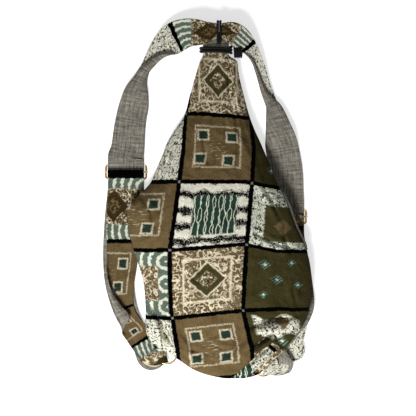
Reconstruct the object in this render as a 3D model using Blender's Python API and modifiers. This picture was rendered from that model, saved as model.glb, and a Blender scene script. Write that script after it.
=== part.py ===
"""A soft cotton backpack lying on its back: a teardrop pouch gathered at the neck, with two adjustable straps.

Metres, +Z up, +Y towards the neck, +X to the right as seen from above. The floor is z = 0.
Every piece of cloth is an open surface that Solidify turns into a wall of its real thickness.
"""

import math

import bmesh
import bpy
import numpy as np

MM = 0.001

# Cloth and clearances
CLOTH = 0.6 * MM            # one layer of strap cloth
PANEL = 0.9 * MM            # printed outer cloth of the pouch
LINING = 0.8 * MM           # chambray inside the pouch
GAP = 0.3 * MM              # between pieces that touch
FLOOR_GAP = 0.3 * MM        # below a strap that lies on the floor
LINING_DROP = 2.2 * MM      # from the outer cloth's middle to the lining's middle, at the crown
LINING_INSET = 8.0 * MM     # how far the lining stops short of the side seams
SEAM_GAP = 1.0 * MM         # from the side seam's middle to the middle of the front and of the back cloth
LINING_ROWS_SHORT = 3       # rows of the outline that the lining stops short of the bottom

# Pouch
FLAT_SHARE = 0.2            # of the half width that lies on the floor, before the back lifts to its side seams
END_SPAN = 62.0 * MM        # the same at the bottom end
NECK_GATHER = 0.9 * MM      # height of the small gathers below the neck cord
GATHERS = 9                 # gathers across the neck
GATHER_REACH = 192.0 * MM   # from the neck cord down to where the gathers end
GATHER_START = 16.0 * MM    # from the neck's edge down to where they begin
GATHER_FADE_LOW = 120.0 * MM    # stretch over which they fade out at the bottom
GATHER_FADE_HIGH = 24.0 * MM    # the same at the top
TAPER_LENGTH = 132.0 * MM   # from the tied neck down to where the pouch lies on its back
HEM_LENGTH = 17.0 * MM      # turned-out mouth above the neck cord
HEM_FLARE = 5.0 * MM        # how much wider the mouth is than the tied neck, on each side
HEM_WAVE = 0.6 * MM
HEM_WAVES = 7
BINDING_RADIUS = 2.1 * MM   # rolled edge along the right side seam
BINDING_ENDS = (12.0 * MM, -84.0 * MM)    # along Y

# Straps
STRAP_WIDTH = 60.0 * MM
STRAP_BAND = 2 * CLOTH + GAP
KNOT_SEAM = 2.4 * MM        # from the lashing's middle to the end of each strap
END_FOLD_THICK = 1.5 * MM   # both layers of the strap's end, sewn flat

# Sliders
BAR_RADIUS = 1.5 * MM
SLIDER_LENGTH = 22.0 * MM   # between the middles of the two outer bars
SIDE_CLEAR = 2.0 * MM       # strap edge to side bar
SLIDE_TRAVEL = 8.0 * MM     # each way from rest
FLAP_LENGTH = 30.0 * MM     # from the centre bar to the flap's tail
FLAP_UNDER = 9.0 * MM       # sewn end under the centre bar
TAIL_CLEAR = 4.0 * MM       # between that end, at the end of its travel, and the return's tip
TAIL_STRAIGHT = 10.0 * MM   # stretch of the return below its tip that runs straight along the slider's travel
NUB_LENGTH = 3.0 * MM
FRAME_CORNER = 4.0 * MM     # radius
BRIDGE_CORNER = 2.5 * MM    # radius of the centre bar's rise over the strap

# Rings and tabs
RING_RADIUS = 16.0 * MM     # to the middle of the wire
RING_WIRE = 1.3 * MM
RING_PASS = 21.0 * MM       # width of the strap where it is bunched inside the ring
RING_SLACK = 1.1 * MM       # between the strap's turn and the ring's wire
RING_LEAD = 12.0 * MM       # straight stretch of strap that leads to the ring
RING_HUG = 14.0 * MM        # how far from the ring the strap takes its curve
TAB_WIDTH = 13.0 * MM
TAB_CLOTH = 1.2 * MM
TAB_LENGTH = 22.0 * MM

# Cords
NECK_CORD = 2.4 * MM        # radius
NECK_TURNS = 2
KNOT_CORD = 1.6 * MM
KNOT_TURNS = 4
KNOT_RADIUS = 8.5 * MM
KNOT_DROP = 3.5 * MM        # the knot's middle, below the middle of the neck cord
LASH_CORD = 2.0 * MM
LASH_LENGTH = 35.6 * MM     # from the lashing's far end to its end over the mouth

# Tied neck
NECK_X = 9.0 * MM           # middle of the neck
NECK_Y = 252.0 * MM         # where the printed cloth ends and the mouth's hem begins
TIE_LENGTH = 17.5 * MM      # stretch of the neck that the cord holds narrow
NECK_HALF = 21.0 * MM
NECK_RISE = 7.0 * MM        # half height of the tied neck
NECK_Z = 14.5 * MM          # height of the neck's middle

# The pouch's outline in mm, from the tied neck to the bottom: y, left edge, right edge, seam height, crown
OUTLINE = (
    (225, -17, 43, 14.0, 10), (212, -21, 45, 13.5, 12), (195, -26, 48, 13.0, 14), (167, -34, 55, 13.0, 18),
    (137, -42, 63, 14.0, 22), (112, -58, 72, 15.5, 25), (90, -71, 82, 17.0, 27), (66, -80, 92, 19.0, 29),
    (43, -90, 101, 21.0, 31), (23, -99, 109, 23.0, 32), (3, -118, 119, 24.5, 33), (-15, -135, 127, 25.5, 34),
    (-46, -134, 138, 26.0, 36), (-78, -127, 153, 25.5, 38), (-109, -117, 162, 24.5, 39),
    (-140, -109, 164, 23.5, 39), (-175, -106, 162, 22.5, 37), (-201, -106, 157, 21.5, 34),
    (-223, -102, 147, 20.5, 30), (-240, -86, 137, 19.5, 25), (-254, -58, 124, 18.5, 20),
    (-268, -46, 108, 17.5, 14), (-282, -27, 89, 16.5, 9), (-291, -2, 75, 16.0, 5), (-296, 22, 56, 15.5, 2),
)

# Soft folds on the front, in mm: x, y, heading in degrees, length, width, height
FOLDS = (
    (104, -194, 24, 74, 13, 8.0), (86, -226, 48, 58, 11, 6.0), (126, -226, 62, 48, 10, 5.0),
    (-76, -180, 98, 84, 10, 5.0), (-52, -206, 76, 70, 10, 4.5), (60, -262, 30, 60, 10, 4.0),
)

# Strap routes in mm, from the knot to the ring: x, y, clear height below, width share, roll in degrees
LEFT_MAIN = (
    (-9, 270, 26.5, 0.62, 0), (-37, 266, 17, 0.86, 8), (-66, 257, 9, 0.86, 22), (-89, 239, 4, 0.74, 50),
    (-105, 213, 2, 0.56, 90), (-117, 184, 1, 0.70, 132), (-127, 152, 0, 0.84, 160), (-134, 112, 0, 0.93, 175),
)
LEFT_BELOW = (
    (-143, -6, 0, 0.98, 180), (-148, -52, 0, 0.95, 180), (-151, -100, 0, 0.90, 180), (-151, -144, 0, 0.82, 180),
    (-144, -184, 0, 0.72, 180), (-131, -218, 0, 0.62, 180), (-114, -246, 0, 0.54, 180),
)
RIGHT_MAIN = (
    (36, 269, 26.5, 0.60, 0), (55, 255, 19, 0.60, -30), (69, 238, 12, 0.56, -58), (80, 213, 7, 0.52, -76),
    (92, 184, 3, 0.56, -96), (103, 154, 1, 0.70, -132), (113, 121, 0, 0.84, -160), (120, 88, 0, 0.93, -174),
    (124, 40, 0, 0.97, -180),
)
RIGHT_BELOW = (
    (130, -86, 0, 0.94, -180), (138, -112, 0, 0.90, -180), (143, -150, 0, 0.84, -180),
    (145, -184, 0, 0.74, -180), (139, -214, 0, 0.62, -180), (127, -242, 0, 0.52, -180),
)

# Routes of the printed return, from the slider back to the ring: x, y, width share
LEFT_RETURN = (
    (-142, -6, 0.96), (-145, -52, 0.88), (-146, -100, 0.80), (-145, -144, 0.76), (-138, -182, 0.70),
    (-124, -214, 0.60), (-106, -240, 0.50),
)
RIGHT_RETURN = (
    (131, -86, 0.94), (139, -112, 0.88), (145, -150, 0.80), (149, -184, 0.68), (148, -214, 0.52),
    (142, -244, 0.42), (130, -266, 0.42),
)
KNOT_X = 14.0 * MM          # where the two straps meet under the lashing
KNOT_Y = 274.0 * MM
KNOT_SHARE = 0.38           # the lashing pinches the straps to this share of their width

SIDES = {
    "left": {
        "above": LEFT_MAIN, "below": LEFT_BELOW, "return": LEFT_RETURN, "turn": 1,
        "slider": (-140.0 * MM, 43.0 * MM), "ring": (-72.0 * MM, -259.0 * MM), "strap_at": 185.0, "tab_at": 62.0,
    },
    "right": {
        "above": RIGHT_MAIN, "below": RIGHT_BELOW, "return": RIGHT_RETURN, "turn": -1,
        "slider": (125.0 * MM, -31.0 * MM), "ring": (87.0 * MM, -279.0 * MM), "strap_at": 5.0, "tab_at": 112.0,
    },
}

# Levels worked out from the sizes above
SLIDER_LIFT = 2 * BAR_RADIUS + GAP - FLOOR_GAP
CENTRE_BAR_Z = FLOOR_GAP + SLIDER_LIFT + STRAP_BAND + GAP + END_FOLD_THICK + GAP + BAR_RADIUS
RING_Z = FLOOR_GAP + STRAP_BAND + GAP + RING_WIRE
RING_TURN = RING_WIRE + RING_SLACK + STRAP_BAND / 2
HEM_TOP = NECK_Z + NECK_RISE + HEM_WAVE + PANEL
LASH_LOW = HEM_TOP + GAP + LASH_CORD
KNOT_LIFT = LASH_LOW + LASH_CORD + GAP

PARTS = bpy.data.collections.new("backpack")


def clear_scene():
    for obj in list(bpy.data.objects):
        bpy.data.objects.remove(obj, do_unlink=True)
    bpy.context.scene.collection.children.link(PARTS)


def material(name, colour, roughness, metallic=0.0):
    made = bpy.data.materials.get(name) or bpy.data.materials.new(name)
    made.use_nodes = True
    shader = made.node_tree.nodes["Principled BSDF"]
    shader.inputs["Base Color"].default_value = (*colour, 1.0)
    shader.inputs["Roughness"].default_value = roughness
    shader.inputs["Metallic"].default_value = metallic
    return made


def print_cloth(name):
    return material(name, (0.20, 0.14, 0.08), 0.9)


def chambray(name):
    return material(name, (0.27, 0.24, 0.22), 0.92)


def brass(name):
    return material(name, (0.52, 0.36, 0.14), 0.35, 1.0)


def black_cord(name):
    return material(name, (0.02, 0.02, 0.022), 0.6)


def add_object(name, data, finish):
    obj = bpy.data.objects.new(name, data)
    obj.data.materials.append(finish)
    PARTS.objects.link(obj)
    return obj


def smoothstep(t):
    t = np.clip(t, 0.0, 1.0)
    return t * t * (3.0 - 2.0 * t)


def through(rows, steps):
    """Points of a smooth curve through the rows, steps to each stretch."""
    rows = np.asarray(rows, float)
    padded = np.vstack([2 * rows[0] - rows[1], rows, 2 * rows[-1] - rows[-2]])
    points = []
    for i in range(1, len(padded) - 2):
        a, b, c, d = padded[i - 1:i + 3]
        for t in np.arange(steps) / steps:
            bend = (2 * a - 5 * b + 4 * c - d) * t * t + (3 * b - a - 3 * c + d) * t ** 3
            points.append(b + 0.5 * ((c - a) * t + bend))
    points.append(rows[-1])
    return np.array(points)


def surface(name, grid, thickness, finish, closed_across=False):
    """A wall of even thickness on a grid of points, rows of equal length."""
    grid = np.asarray(grid, float)
    rows, across = grid.shape[:2]
    faces = []
    for i in range(rows - 1):
        for j in range(across if closed_across else across - 1):
            k = (j + 1) % across
            faces.append((i * across + j, i * across + k, (i + 1) * across + k, (i + 1) * across + j))
    mesh = bpy.data.meshes.new(name)
    mesh.from_pydata(grid.reshape(-1, 3).tolist(), [], faces)
    mesh.shade_smooth()
    obj = add_object(name, mesh, finish)
    wall = obj.modifiers.new("cloth", "SOLIDIFY")
    wall.thickness = thickness
    wall.offset = 0.0
    return obj


def tube(name, points, radius, finish, closed=False):
    """A round cord or wire along the points."""
    curve = bpy.data.curves.new(name, "CURVE")
    curve.dimensions = "3D"
    curve.bevel_depth = radius
    curve.bevel_resolution = 2
    curve.use_fill_caps = True
    spline = curve.splines.new("POLY")
    spline.points.add(len(points) - 1)
    for place, point in zip(spline.points, points):
        place.co = (*point, 1.0)
    spline.use_cyclic_u = closed
    return add_object(name, curve, finish)


def as_mesh(obj):
    """The curve object as a mesh object with its caps welded, so that it can be joined."""
    graph = bpy.context.evaluated_depsgraph_get()
    mesh = bpy.data.meshes.new_from_object(obj.evaluated_get(graph))
    work = bmesh.new()
    work.from_mesh(mesh)
    bmesh.ops.remove_doubles(work, verts=work.verts, dist=1e-6)
    bmesh.ops.recalc_face_normals(work, faces=work.faces)
    work.to_mesh(mesh)
    work.free()
    name = obj.name
    finish = obj.data.materials[0]
    bpy.data.objects.remove(obj, do_unlink=True)
    mesh.materials.clear()
    return add_object(name, mesh, finish)


def joined(main, others):
    """The main object with the others joined to it by Boolean unions."""
    for other in others:
        join = main.modifiers.new(other.name, "BOOLEAN")
        join.operation = "UNION"
        join.solver = "EXACT"
        join.object = other
        graph = bpy.context.evaluated_depsgraph_get()
        mesh = bpy.data.meshes.new_from_object(main.evaluated_get(graph))
        main.modifiers.clear()
        main.data = mesh
        bpy.data.objects.remove(other, do_unlink=True)
    return main


def neck_rows():
    """The tied neck's rows, continued from the outline: y, left, right, seam height, crown."""
    edges = (NECK_X - NECK_HALF, NECK_X + NECK_HALF, NECK_Z, NECK_RISE)
    return [[value / MM for value in (y, *edges)] for y in (NECK_Y, NECK_Y - TIE_LENGTH)]


PROFILE = np.array(neck_rows() + list(OUTLINE)) * MM


def profile_at(y):
    """Left edge, right edge, seam height and crown of the pouch at y."""
    order = PROFILE[::-1]
    return [np.interp(y, order[:, 0], order[:, k]) for k in range(1, 5)]


def neckness(y):
    """1 at the tied neck, 0 from the shoulders down."""
    return float(smoothstep((y - NECK_Y + TAPER_LENGTH) / TAPER_LENGTH))


def under_z(x, y):
    """Height of the back cloth's middle: flat on the floor, lifting towards its side seams and its bottom end."""
    left, right, seam, _ = profile_at(y)
    half = (right - left) / 2
    u = min(1.0, abs(x - (left + right) / 2) / half)
    span = 1 - FLAT_SHARE
    side = smoothstep((u - 1 + span) / span)
    end = smoothstep((PROFILE[-1, 0] + END_SPAN - y) / END_SPAN)
    flat = (seam - PANEL / 2) * (1 - (1 - side) * (1 - end))
    tied = seam - SEAM_GAP - (NECK_RISE - SEAM_GAP) * math.sqrt(max(0.0, 1 - u * u))
    share = neckness(y)
    return PANEL / 2 + (flat - SEAM_GAP * side) * (1 - share) + (tied - PANEL / 2) * share


def fold_height(x, y):
    total = 0.0
    for fx, fy, heading, length, width, height in FOLDS:
        turn = math.radians(heading)
        dx, dy = x / MM - fx, y / MM - fy
        along = dx * math.cos(turn) + dy * math.sin(turn)
        across = dy * math.cos(turn) - dx * math.sin(turn)
        total += height * math.exp(-(along / length * 2) ** 2 - (across / width) ** 2)
    return total * MM


def dome_at(x, y, inset=0.0):
    """1 in the middle of the front and 0 at its side seams, or at an inset from them."""
    left, right = profile_at(y)[:2]
    u = min(1.0, abs(x - (left + right) / 2) / ((right - left) / 2 - inset))
    return max(0.0, 1 - u ** 2.3) ** (0.62 - 0.12 * neckness(y))


def lining_z(x, y):
    """Height of the front lining's middle, below the front cloth."""
    seam, crown = profile_at(y)[2:]
    return seam + SEAM_GAP + (crown - SEAM_GAP - LINING_DROP) * dome_at(x, y, LINING_INSET)


def lining_under_z(x, y):
    """Height of the back lining's middle, above the back cloth and short of the side seam's middle."""
    return min(under_z(x, y) + LINING_DROP, profile_at(y)[2] - GAP)


def over_z(x, y):
    """Height of the front cloth's middle: crowned, with gathers below the neck and soft folds near the bottom."""
    left, right, seam, crown = profile_at(y)
    u = min(1.0, abs(x - (left + right) / 2) * 2 / (right - left))
    dome = dome_at(x, y)
    z = seam + SEAM_GAP + (crown - SEAM_GAP) * dome
    low, high = NECK_Y - GATHER_REACH, NECK_Y - GATHER_START
    fade = smoothstep((y - low) / GATHER_FADE_LOW) * smoothstep((high - y) / GATHER_FADE_HIGH)
    gather = math.sin(math.pi * u) * fade
    wave = math.cos(GATHERS * math.pi * (x - left) / (right - left))
    return z + NECK_GATHER * wave * gather + fold_height(x, y) * dome


def panel_grid(height, columns, inset=0.0, levels=None):
    """Rows of points from the neck to the bottom, closer together near the side seams."""
    grid = []
    for y in PROFILE[:, 0] if levels is None else levels:
        left, right = profile_at(y)[:2]
        half, middle = (right - left) / 2 - inset, (right + left) / 2
        turns = np.linspace(-1, 1, columns + 1)
        shares = 0.55 * turns + 0.45 * np.sin(turns * math.pi / 2)
        grid.append([(middle + s * half, y, height(middle + s * half, y)) for s in shares])
    return grid


def make_pouch():
    print_front = print_cloth("front_print")
    surface("front_panel", panel_grid(over_z, 18)[::-1], PANEL, print_front)
    surface("back_panel", panel_grid(under_z, 12), PANEL, print_cloth("back_print"))
    inner = PROFILE[:-LINING_ROWS_SHORT, 0]
    surface("front_lining", panel_grid(lining_z, 10, LINING_INSET, inner)[::-1], LINING, chambray("front_lining"))
    surface("back_lining", panel_grid(lining_under_z, 12, LINING_INSET, inner), LINING, chambray("back_lining"))


def make_hem():
    """The turned-out mouth: a short tube with soft waves, just past the printed cloth."""
    grid = []
    for share in np.linspace(0, 1, 5):
        y = NECK_Y + PANEL + share * HEM_LENGTH
        half = NECK_HALF + HEM_FLARE * smoothstep(share)
        ring = []
        for turn in np.linspace(0, 2 * math.pi, 36, endpoint=False):
            wave = HEM_WAVE * share * math.cos(HEM_WAVES * turn)
            rise = NECK_RISE + wave
            ring.append((NECK_X + half * math.cos(turn), y, NECK_Z + rise * math.sin(turn)))
        grid.append(ring)
    surface("mouth_hem", grid, PANEL, chambray("mouth_hem"), closed_across=True)


def make_binding():
    """The rolled chambray edge that shows along the right side seam."""
    points = []
    for y in np.linspace(*BINDING_ENDS, 15):
        _, right, seam, _ = profile_at(y)
        points.append((right + BINDING_RADIUS + PANEL, y, seam))
    tube("edge_binding", points, BINDING_RADIUS, chambray("edge_binding"))


def make_neck_cord():
    wide = NECK_HALF + PANEL + 3 * GAP + NECK_CORD
    tall = NECK_RISE + PANEL + 3 * GAP + NECK_CORD
    pitch = 2 * NECK_CORD + GAP
    start = NECK_Y - PANEL - NECK_CORD - NECK_TURNS * pitch
    per_turn = 26
    points = []
    for i in range(NECK_TURNS * per_turn + 1):
        turn = 2 * math.pi * i / per_turn
        points.append((
            NECK_X + wide * math.cos(turn), start + pitch * i / per_turn, NECK_Z + tall * math.sin(turn),
        ))
    tube("neck_cord", points, NECK_CORD, black_cord("neck_cord"))


def make_knot():
    """Turns of thin cord that seize the neck cord's end, beside the neck."""
    start = NECK_X + NECK_HALF + PANEL + 4 * GAP + 2 * NECK_CORD + KNOT_CORD
    pitch = 2 * KNOT_CORD + GAP
    middle = NECK_Y - PANEL - NECK_CORD - NECK_TURNS * (2 * NECK_CORD + GAP) / 2 - KNOT_DROP
    per_turn = 12
    points = []
    for i in range(KNOT_TURNS * per_turn + 1):
        turn = 2 * math.pi * i / per_turn
        points.append((
            start + pitch * i / per_turn,
            middle + KNOT_RADIUS * math.cos(turn),
            NECK_Z + KNOT_RADIUS * math.sin(turn),
        ))
    tube("cord_knot", points, KNOT_CORD, black_cord("cord_knot"))


def make_lashing():
    """A turn of cord round the pinched straps, where they meet over the mouth."""
    far = KNOT_Y + KNOT_SHARE * STRAP_WIDTH / 2 + 2.5 * GAP + LASH_CORD
    low, high = LASH_LOW, KNOT_LIFT + STRAP_BAND + GAP + LASH_CORD
    middle, half_tall = (low + high) / 2, (high - low) / 2
    straight = LASH_LENGTH / 2 - half_tall
    points = []
    for side in (1, -1):
        for turn in np.linspace(math.pi / 2, -math.pi / 2, 7) * side:
            y = far - LASH_LENGTH / 2 + side * (straight + half_tall * math.cos(turn))
            points.append((KNOT_X, y, middle + half_tall * math.sin(turn)))
    tube("strap_lashing", points, LASH_CORD, black_cord("strap_lashing"), closed=True)


def band_stations(rows):
    """Centre, across and up vectors and width of a strap at each row: x, y, clear height, width, roll."""
    places = []
    for x, y, lift, width, roll in rows:
        turn = math.radians(roll)
        rise = STRAP_BAND / 2 * abs(math.cos(turn)) + width / 2 * abs(math.sin(turn))
        places.append((x, y, FLOOR_GAP + lift + rise))
    places = np.array(places)
    runs = np.diff(places, axis=0)
    runs /= np.linalg.norm(runs, axis=1)[:, None]
    tangents = np.vstack([runs[:1], runs[:-1] + runs[1:], runs[-1:]])
    tangents /= np.linalg.norm(tangents, axis=1)[:, None]
    stations = []
    for place, tangent, row in zip(places, tangents, rows):
        turn = math.radians(row[4])
        left = np.cross((0, 0, 1), tangent)
        left /= np.linalg.norm(left)
        up = np.cross(tangent, left)
        across = left * math.cos(turn) + up * math.sin(turn)
        stations.append((place, across, np.cross(tangent, across), row[3], 0.0))
    return stations


def ring_turn(side, steps=8):
    """The strap's turn round the ring's wire, from under it to over it."""
    angle = math.radians(side["strap_at"])
    inward = -np.array((math.cos(angle), math.sin(angle), 0.0))
    wire = np.array((*side["ring"], FLOOR_GAP + STRAP_BAND / 2 + RING_TURN)) - RING_RADIUS * inward
    across = -np.cross((0, 0, 1), inward)
    stations = []
    for turn in np.linspace(-math.pi / 2, math.pi / 2, steps + 1):
        place = wire + RING_TURN * (inward * math.cos(turn) + np.array((0, 0, math.sin(turn))))
        heading = -inward * math.sin(turn) + np.array((0, 0, math.cos(turn)))
        stations.append((place, across, np.cross(heading, across), RING_PASS, 1.0))
    return stations, inward, wire


def strap_rows(side):
    """The single strap from the knot down to the ring, as rows in metres and degrees."""
    x, y = side["slider"]
    flat = SLIDER_LENGTH / 2 + SLIDE_TRAVEL + 2 * BAR_RADIUS
    full = 180 * side["turn"]
    start = KNOT_X - KNOT_SEAM * side["turn"]
    rows = [(start, KNOT_Y, KNOT_LIFT, KNOT_SHARE * STRAP_WIDTH, 0)]
    rows += [(px * MM, py * MM, lift * MM, share * STRAP_WIDTH, roll) for px, py, lift, share, roll in side["above"]]
    slider = [(x, y + flat, SLIDER_LIFT, STRAP_WIDTH, full), (x, y - flat, SLIDER_LIFT, STRAP_WIDTH, full)]
    below = [(px * MM, py * MM, lift * MM, share * STRAP_WIDTH, roll) for px, py, lift, share, roll in side["below"]]
    return rows, slider, below


def main_stations(side, steps):
    above, slider, below = strap_rows(side)
    _, inward, wire = ring_turn(side)
    end = wire - inward * RING_LEAD
    last = (end[0], end[1], 0.0, 1.15 * RING_PASS, below[-1][4])
    turn = (wire[0], wire[1], 0.0, RING_PASS, below[-1][4])
    upper = through(above + [slider[0]], steps)
    lower = through([slider[1]] + below + [last, turn], steps)
    rows = np.vstack([upper, lower[:-1]])
    return band_stations(rows)


def return_stations(side, steps):
    """The printed return from the ring up to the flap, lying on the strap below it."""
    _, inward, wire = ring_turn(side)
    step = STRAP_BAND + GAP
    end = wire - inward * RING_LEAD
    ring_step = 2 * RING_TURN
    x, y = side["slider"]
    tip = y - FLAP_UNDER - SLIDE_TRAVEL - TAIL_CLEAR
    rows = [
        (wire[0], wire[1], ring_step, RING_PASS, 0),
        (end[0], end[1], ring_step * 0.8, 1.15 * RING_PASS, 0),
    ]
    rows += [(px * MM, py * MM, step, share * STRAP_WIDTH, 0) for px, py, share in side["return"][::-1]]
    rows.append((x, tip - TAIL_STRAIGHT, SLIDER_LIFT + step - GAP, STRAP_WIDTH, 0))
    rows.append((x, tip, SLIDER_LIFT + step, STRAP_WIDTH, 0))
    return band_stations(through(rows, steps)[1:])


def band_grid(stations, offset, side, columns=2):
    """Points across each station, offset towards the printed face; near the ring the band follows the wire."""
    angle = math.radians(side["strap_at"])
    inward = -np.array((math.cos(angle), math.sin(angle), 0.0))
    grid = []
    for place, across, up, width, hug in stations:
        line = []
        for share in np.linspace(-1, 1, columns + 1):
            a = share * width / 2
            sag = RING_RADIUS - math.sqrt(RING_RADIUS ** 2 - min(a * a, 0.8 * RING_RADIUS ** 2))
            line.append(place + across * a + up * offset + inward * sag * hug)
        grid.append(line)
    return grid


def hugging(stations, side):
    """Lets the band take the ring's curve over its last stretch, fading away from the ring."""
    centre = np.array((*side["ring"], 0.0))
    eased = []
    for place, across, up, width, hug in stations:
        away = math.hypot(*(place - centre)[:2]) - RING_RADIUS
        eased.append((place, across, up, width, max(hug, float(smoothstep(1 - away / RING_HUG)))))
    return eased


def make_straps(key, side):
    turn, _, _ = ring_turn(side)
    stations = main_stations(side, 3) + turn + return_stations(side, 2)
    stations = hugging(stations, side)
    shift = (CLOTH + GAP) / 2
    surface(key + "_strap_print", band_grid(stations, shift, side), CLOTH, print_cloth(key + "_strap_print"))
    surface(key + "_strap_lining", band_grid(stations, -shift, side), CLOTH, chambray(key + "_strap_lining"))


def make_strap_end(key, side):
    """The strap's end folded round the slider's centre bar and lying on the return below it."""
    x, y = side["slider"]
    turn = BAR_RADIUS + GAP + END_FOLD_THICK / 2
    rest = FLOOR_GAP + SLIDER_LIFT + 2 * STRAP_BAND + 2 * GAP + END_FOLD_THICK / 2
    line = [(y - FLAP_UNDER, CENTRE_BAR_Z - turn), (y - FLAP_UNDER / 2, CENTRE_BAR_Z - turn)]
    for angle in np.linspace(-math.pi / 2, math.pi / 2, 9):
        line.append((y + turn * math.cos(angle), CENTRE_BAR_Z + turn * math.sin(angle)))
    drop = CENTRE_BAR_Z + turn - rest
    for share in (0.25, 0.5, 0.75, 1.0):
        line.append((y - share * FLAP_LENGTH / 2, rest + drop * (1 - smoothstep(share))))
    line.append((y - FLAP_LENGTH, rest))
    half = STRAP_WIDTH / 2 - GAP
    grid = [[(x + s * half, py, pz) for s in (-1, 0, 1)] for py, pz in line]
    surface(key + "_strap_end", grid, END_FOLD_THICK, print_cloth(key + "_strap_end"))


def rounded(corners, radius, steps=3):
    """A closed outline in the XY plane with its corners rounded."""
    points = []
    count = len(corners)
    for i in range(count):
        corner = np.array(corners[i])
        before = np.array(corners[i - 1]) - corner
        after = np.array(corners[(i + 1) % count]) - corner
        start = corner + before / np.linalg.norm(before) * radius
        end = corner + after / np.linalg.norm(after) * radius
        for t in np.linspace(0, 1, steps + 1):
            points.append((1 - t) ** 2 * start + 2 * t * (1 - t) * corner + t * t * end)
    return points


def make_slider(key, side):
    """A wire slide: two outer bars under the strap, two side bars, and a centre bar that bridges over it."""
    x, y = side["slider"]
    half = STRAP_WIDTH / 2 + SIDE_CLEAR + BAR_RADIUS
    long = SLIDER_LENGTH / 2
    low = BAR_RADIUS
    corners = [(x - half, y - long), (x + half, y - long), (x + half, y + long), (x - half, y + long)]
    frame = [(px, py, low) for px, py in rounded(corners, FRAME_CORNER)]
    finish = brass(key + "_slider")
    body = as_mesh(tube(key + "_slider", frame, BAR_RADIUS, finish, closed=True))
    bridge = [(x - half, y, low)]
    for sign in (-1, 1):
        arc = []
        for turn in np.linspace(0, math.pi / 2, 4):
            out = half - BRIDGE_CORNER * (1 - math.cos(turn))
            arc.append((x + sign * out, y, CENTRE_BAR_Z - BRIDGE_CORNER * (1 - math.sin(turn))))
        bridge += arc if sign < 0 else arc[::-1]
    bridge.append((x + half, y, low))
    bar = as_mesh(tube(key + "_bar", bridge, BAR_RADIUS * 0.96, finish))
    nubs = []
    for sign in (-1, 1):
        ends = [(x + sign * half, y, low), (x + sign * (half + NUB_LENGTH), y, low)]
        nubs.append(as_mesh(tube(key + "_nub", ends, BAR_RADIUS * 0.8, finish)))
    joined(body, [bar] + nubs)


def make_ring(key, side):
    points = []
    for turn in np.linspace(0, 2 * math.pi, 32, endpoint=False):
        points.append((RING_RADIUS * math.cos(turn), RING_RADIUS * math.sin(turn), 0.0))
    ring = tube(key + "_ring", points, RING_WIRE, brass(key + "_ring"), closed=True)
    ring.location = (*side["ring"], RING_Z)


def make_tab(key, side):
    """A folded tab round the ring's wire, its two ends sewn together against the back of the pouch."""
    angle = math.radians(side["tab_at"])
    outward = np.array((math.cos(angle), math.sin(angle), 0.0))
    across = np.cross((0, 0, 1), outward)
    wire = np.array((*side["ring"], RING_Z)) + RING_RADIUS * outward
    turn = RING_WIRE + GAP + TAB_CLOTH / 2
    end = wire + outward * TAB_LENGTH
    top = under_z(end[0], end[1]) - PANEL / 2 - TAB_CLOTH / 2 - 5 * GAP
    line = [end + np.array((0, 0, top - TAB_CLOTH - GAP - RING_Z))]
    line.append(wire + outward * TAB_LENGTH * 0.45 + np.array((0, 0, -turn * 0.75)))
    for bend in np.linspace(-math.pi / 2, math.pi / 2, 9):
        line.append(wire - outward * turn * math.cos(bend) + np.array((0, 0, turn * math.sin(bend))))
    line.append(wire + outward * TAB_LENGTH * 0.45 + np.array((0, 0, turn * 0.85)))
    line.append(end + np.array((0, 0, top - RING_Z)))
    grid = []
    for i, place in enumerate(line):
        hug = 0.0 if i in (0, len(line) - 1) else 1.0
        row = []
        for share in np.linspace(-1, 1, 5):
            a = share * TAB_WIDTH / 2
            sag = RING_RADIUS - math.sqrt(RING_RADIUS ** 2 - a * a)
            row.append(place + across * a - outward * sag * hug)
        grid.append(row)
    surface(key + "_ring_tab", grid, TAB_CLOTH, print_cloth(key + "_ring_tab"))


def build():
    clear_scene()
    make_pouch()
    make_hem()
    make_binding()
    make_neck_cord()
    make_knot()
    make_lashing()
    for key, side in SIDES.items():
        make_straps(key, side)
        make_strap_end(key, side)
        make_slider(key, side)
        make_ring(key, side)
        make_tab(key, side)


build()
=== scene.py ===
import math

import bmesh
import bpy
import numpy as np
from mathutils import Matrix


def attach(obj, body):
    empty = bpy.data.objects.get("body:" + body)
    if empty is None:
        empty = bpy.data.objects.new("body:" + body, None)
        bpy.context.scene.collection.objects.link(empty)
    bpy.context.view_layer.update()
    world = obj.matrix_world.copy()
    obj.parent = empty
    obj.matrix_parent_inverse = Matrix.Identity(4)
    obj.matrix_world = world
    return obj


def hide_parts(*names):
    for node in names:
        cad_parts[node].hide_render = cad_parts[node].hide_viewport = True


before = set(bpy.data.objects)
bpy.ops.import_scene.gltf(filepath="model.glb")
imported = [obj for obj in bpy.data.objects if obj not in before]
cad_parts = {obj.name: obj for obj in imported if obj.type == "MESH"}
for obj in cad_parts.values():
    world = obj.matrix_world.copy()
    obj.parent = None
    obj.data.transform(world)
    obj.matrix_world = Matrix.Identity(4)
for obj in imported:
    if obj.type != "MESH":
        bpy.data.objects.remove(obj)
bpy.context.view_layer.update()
mm = 0.001
gap = 0.3 * mm                                          # between pieces that touch

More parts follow.
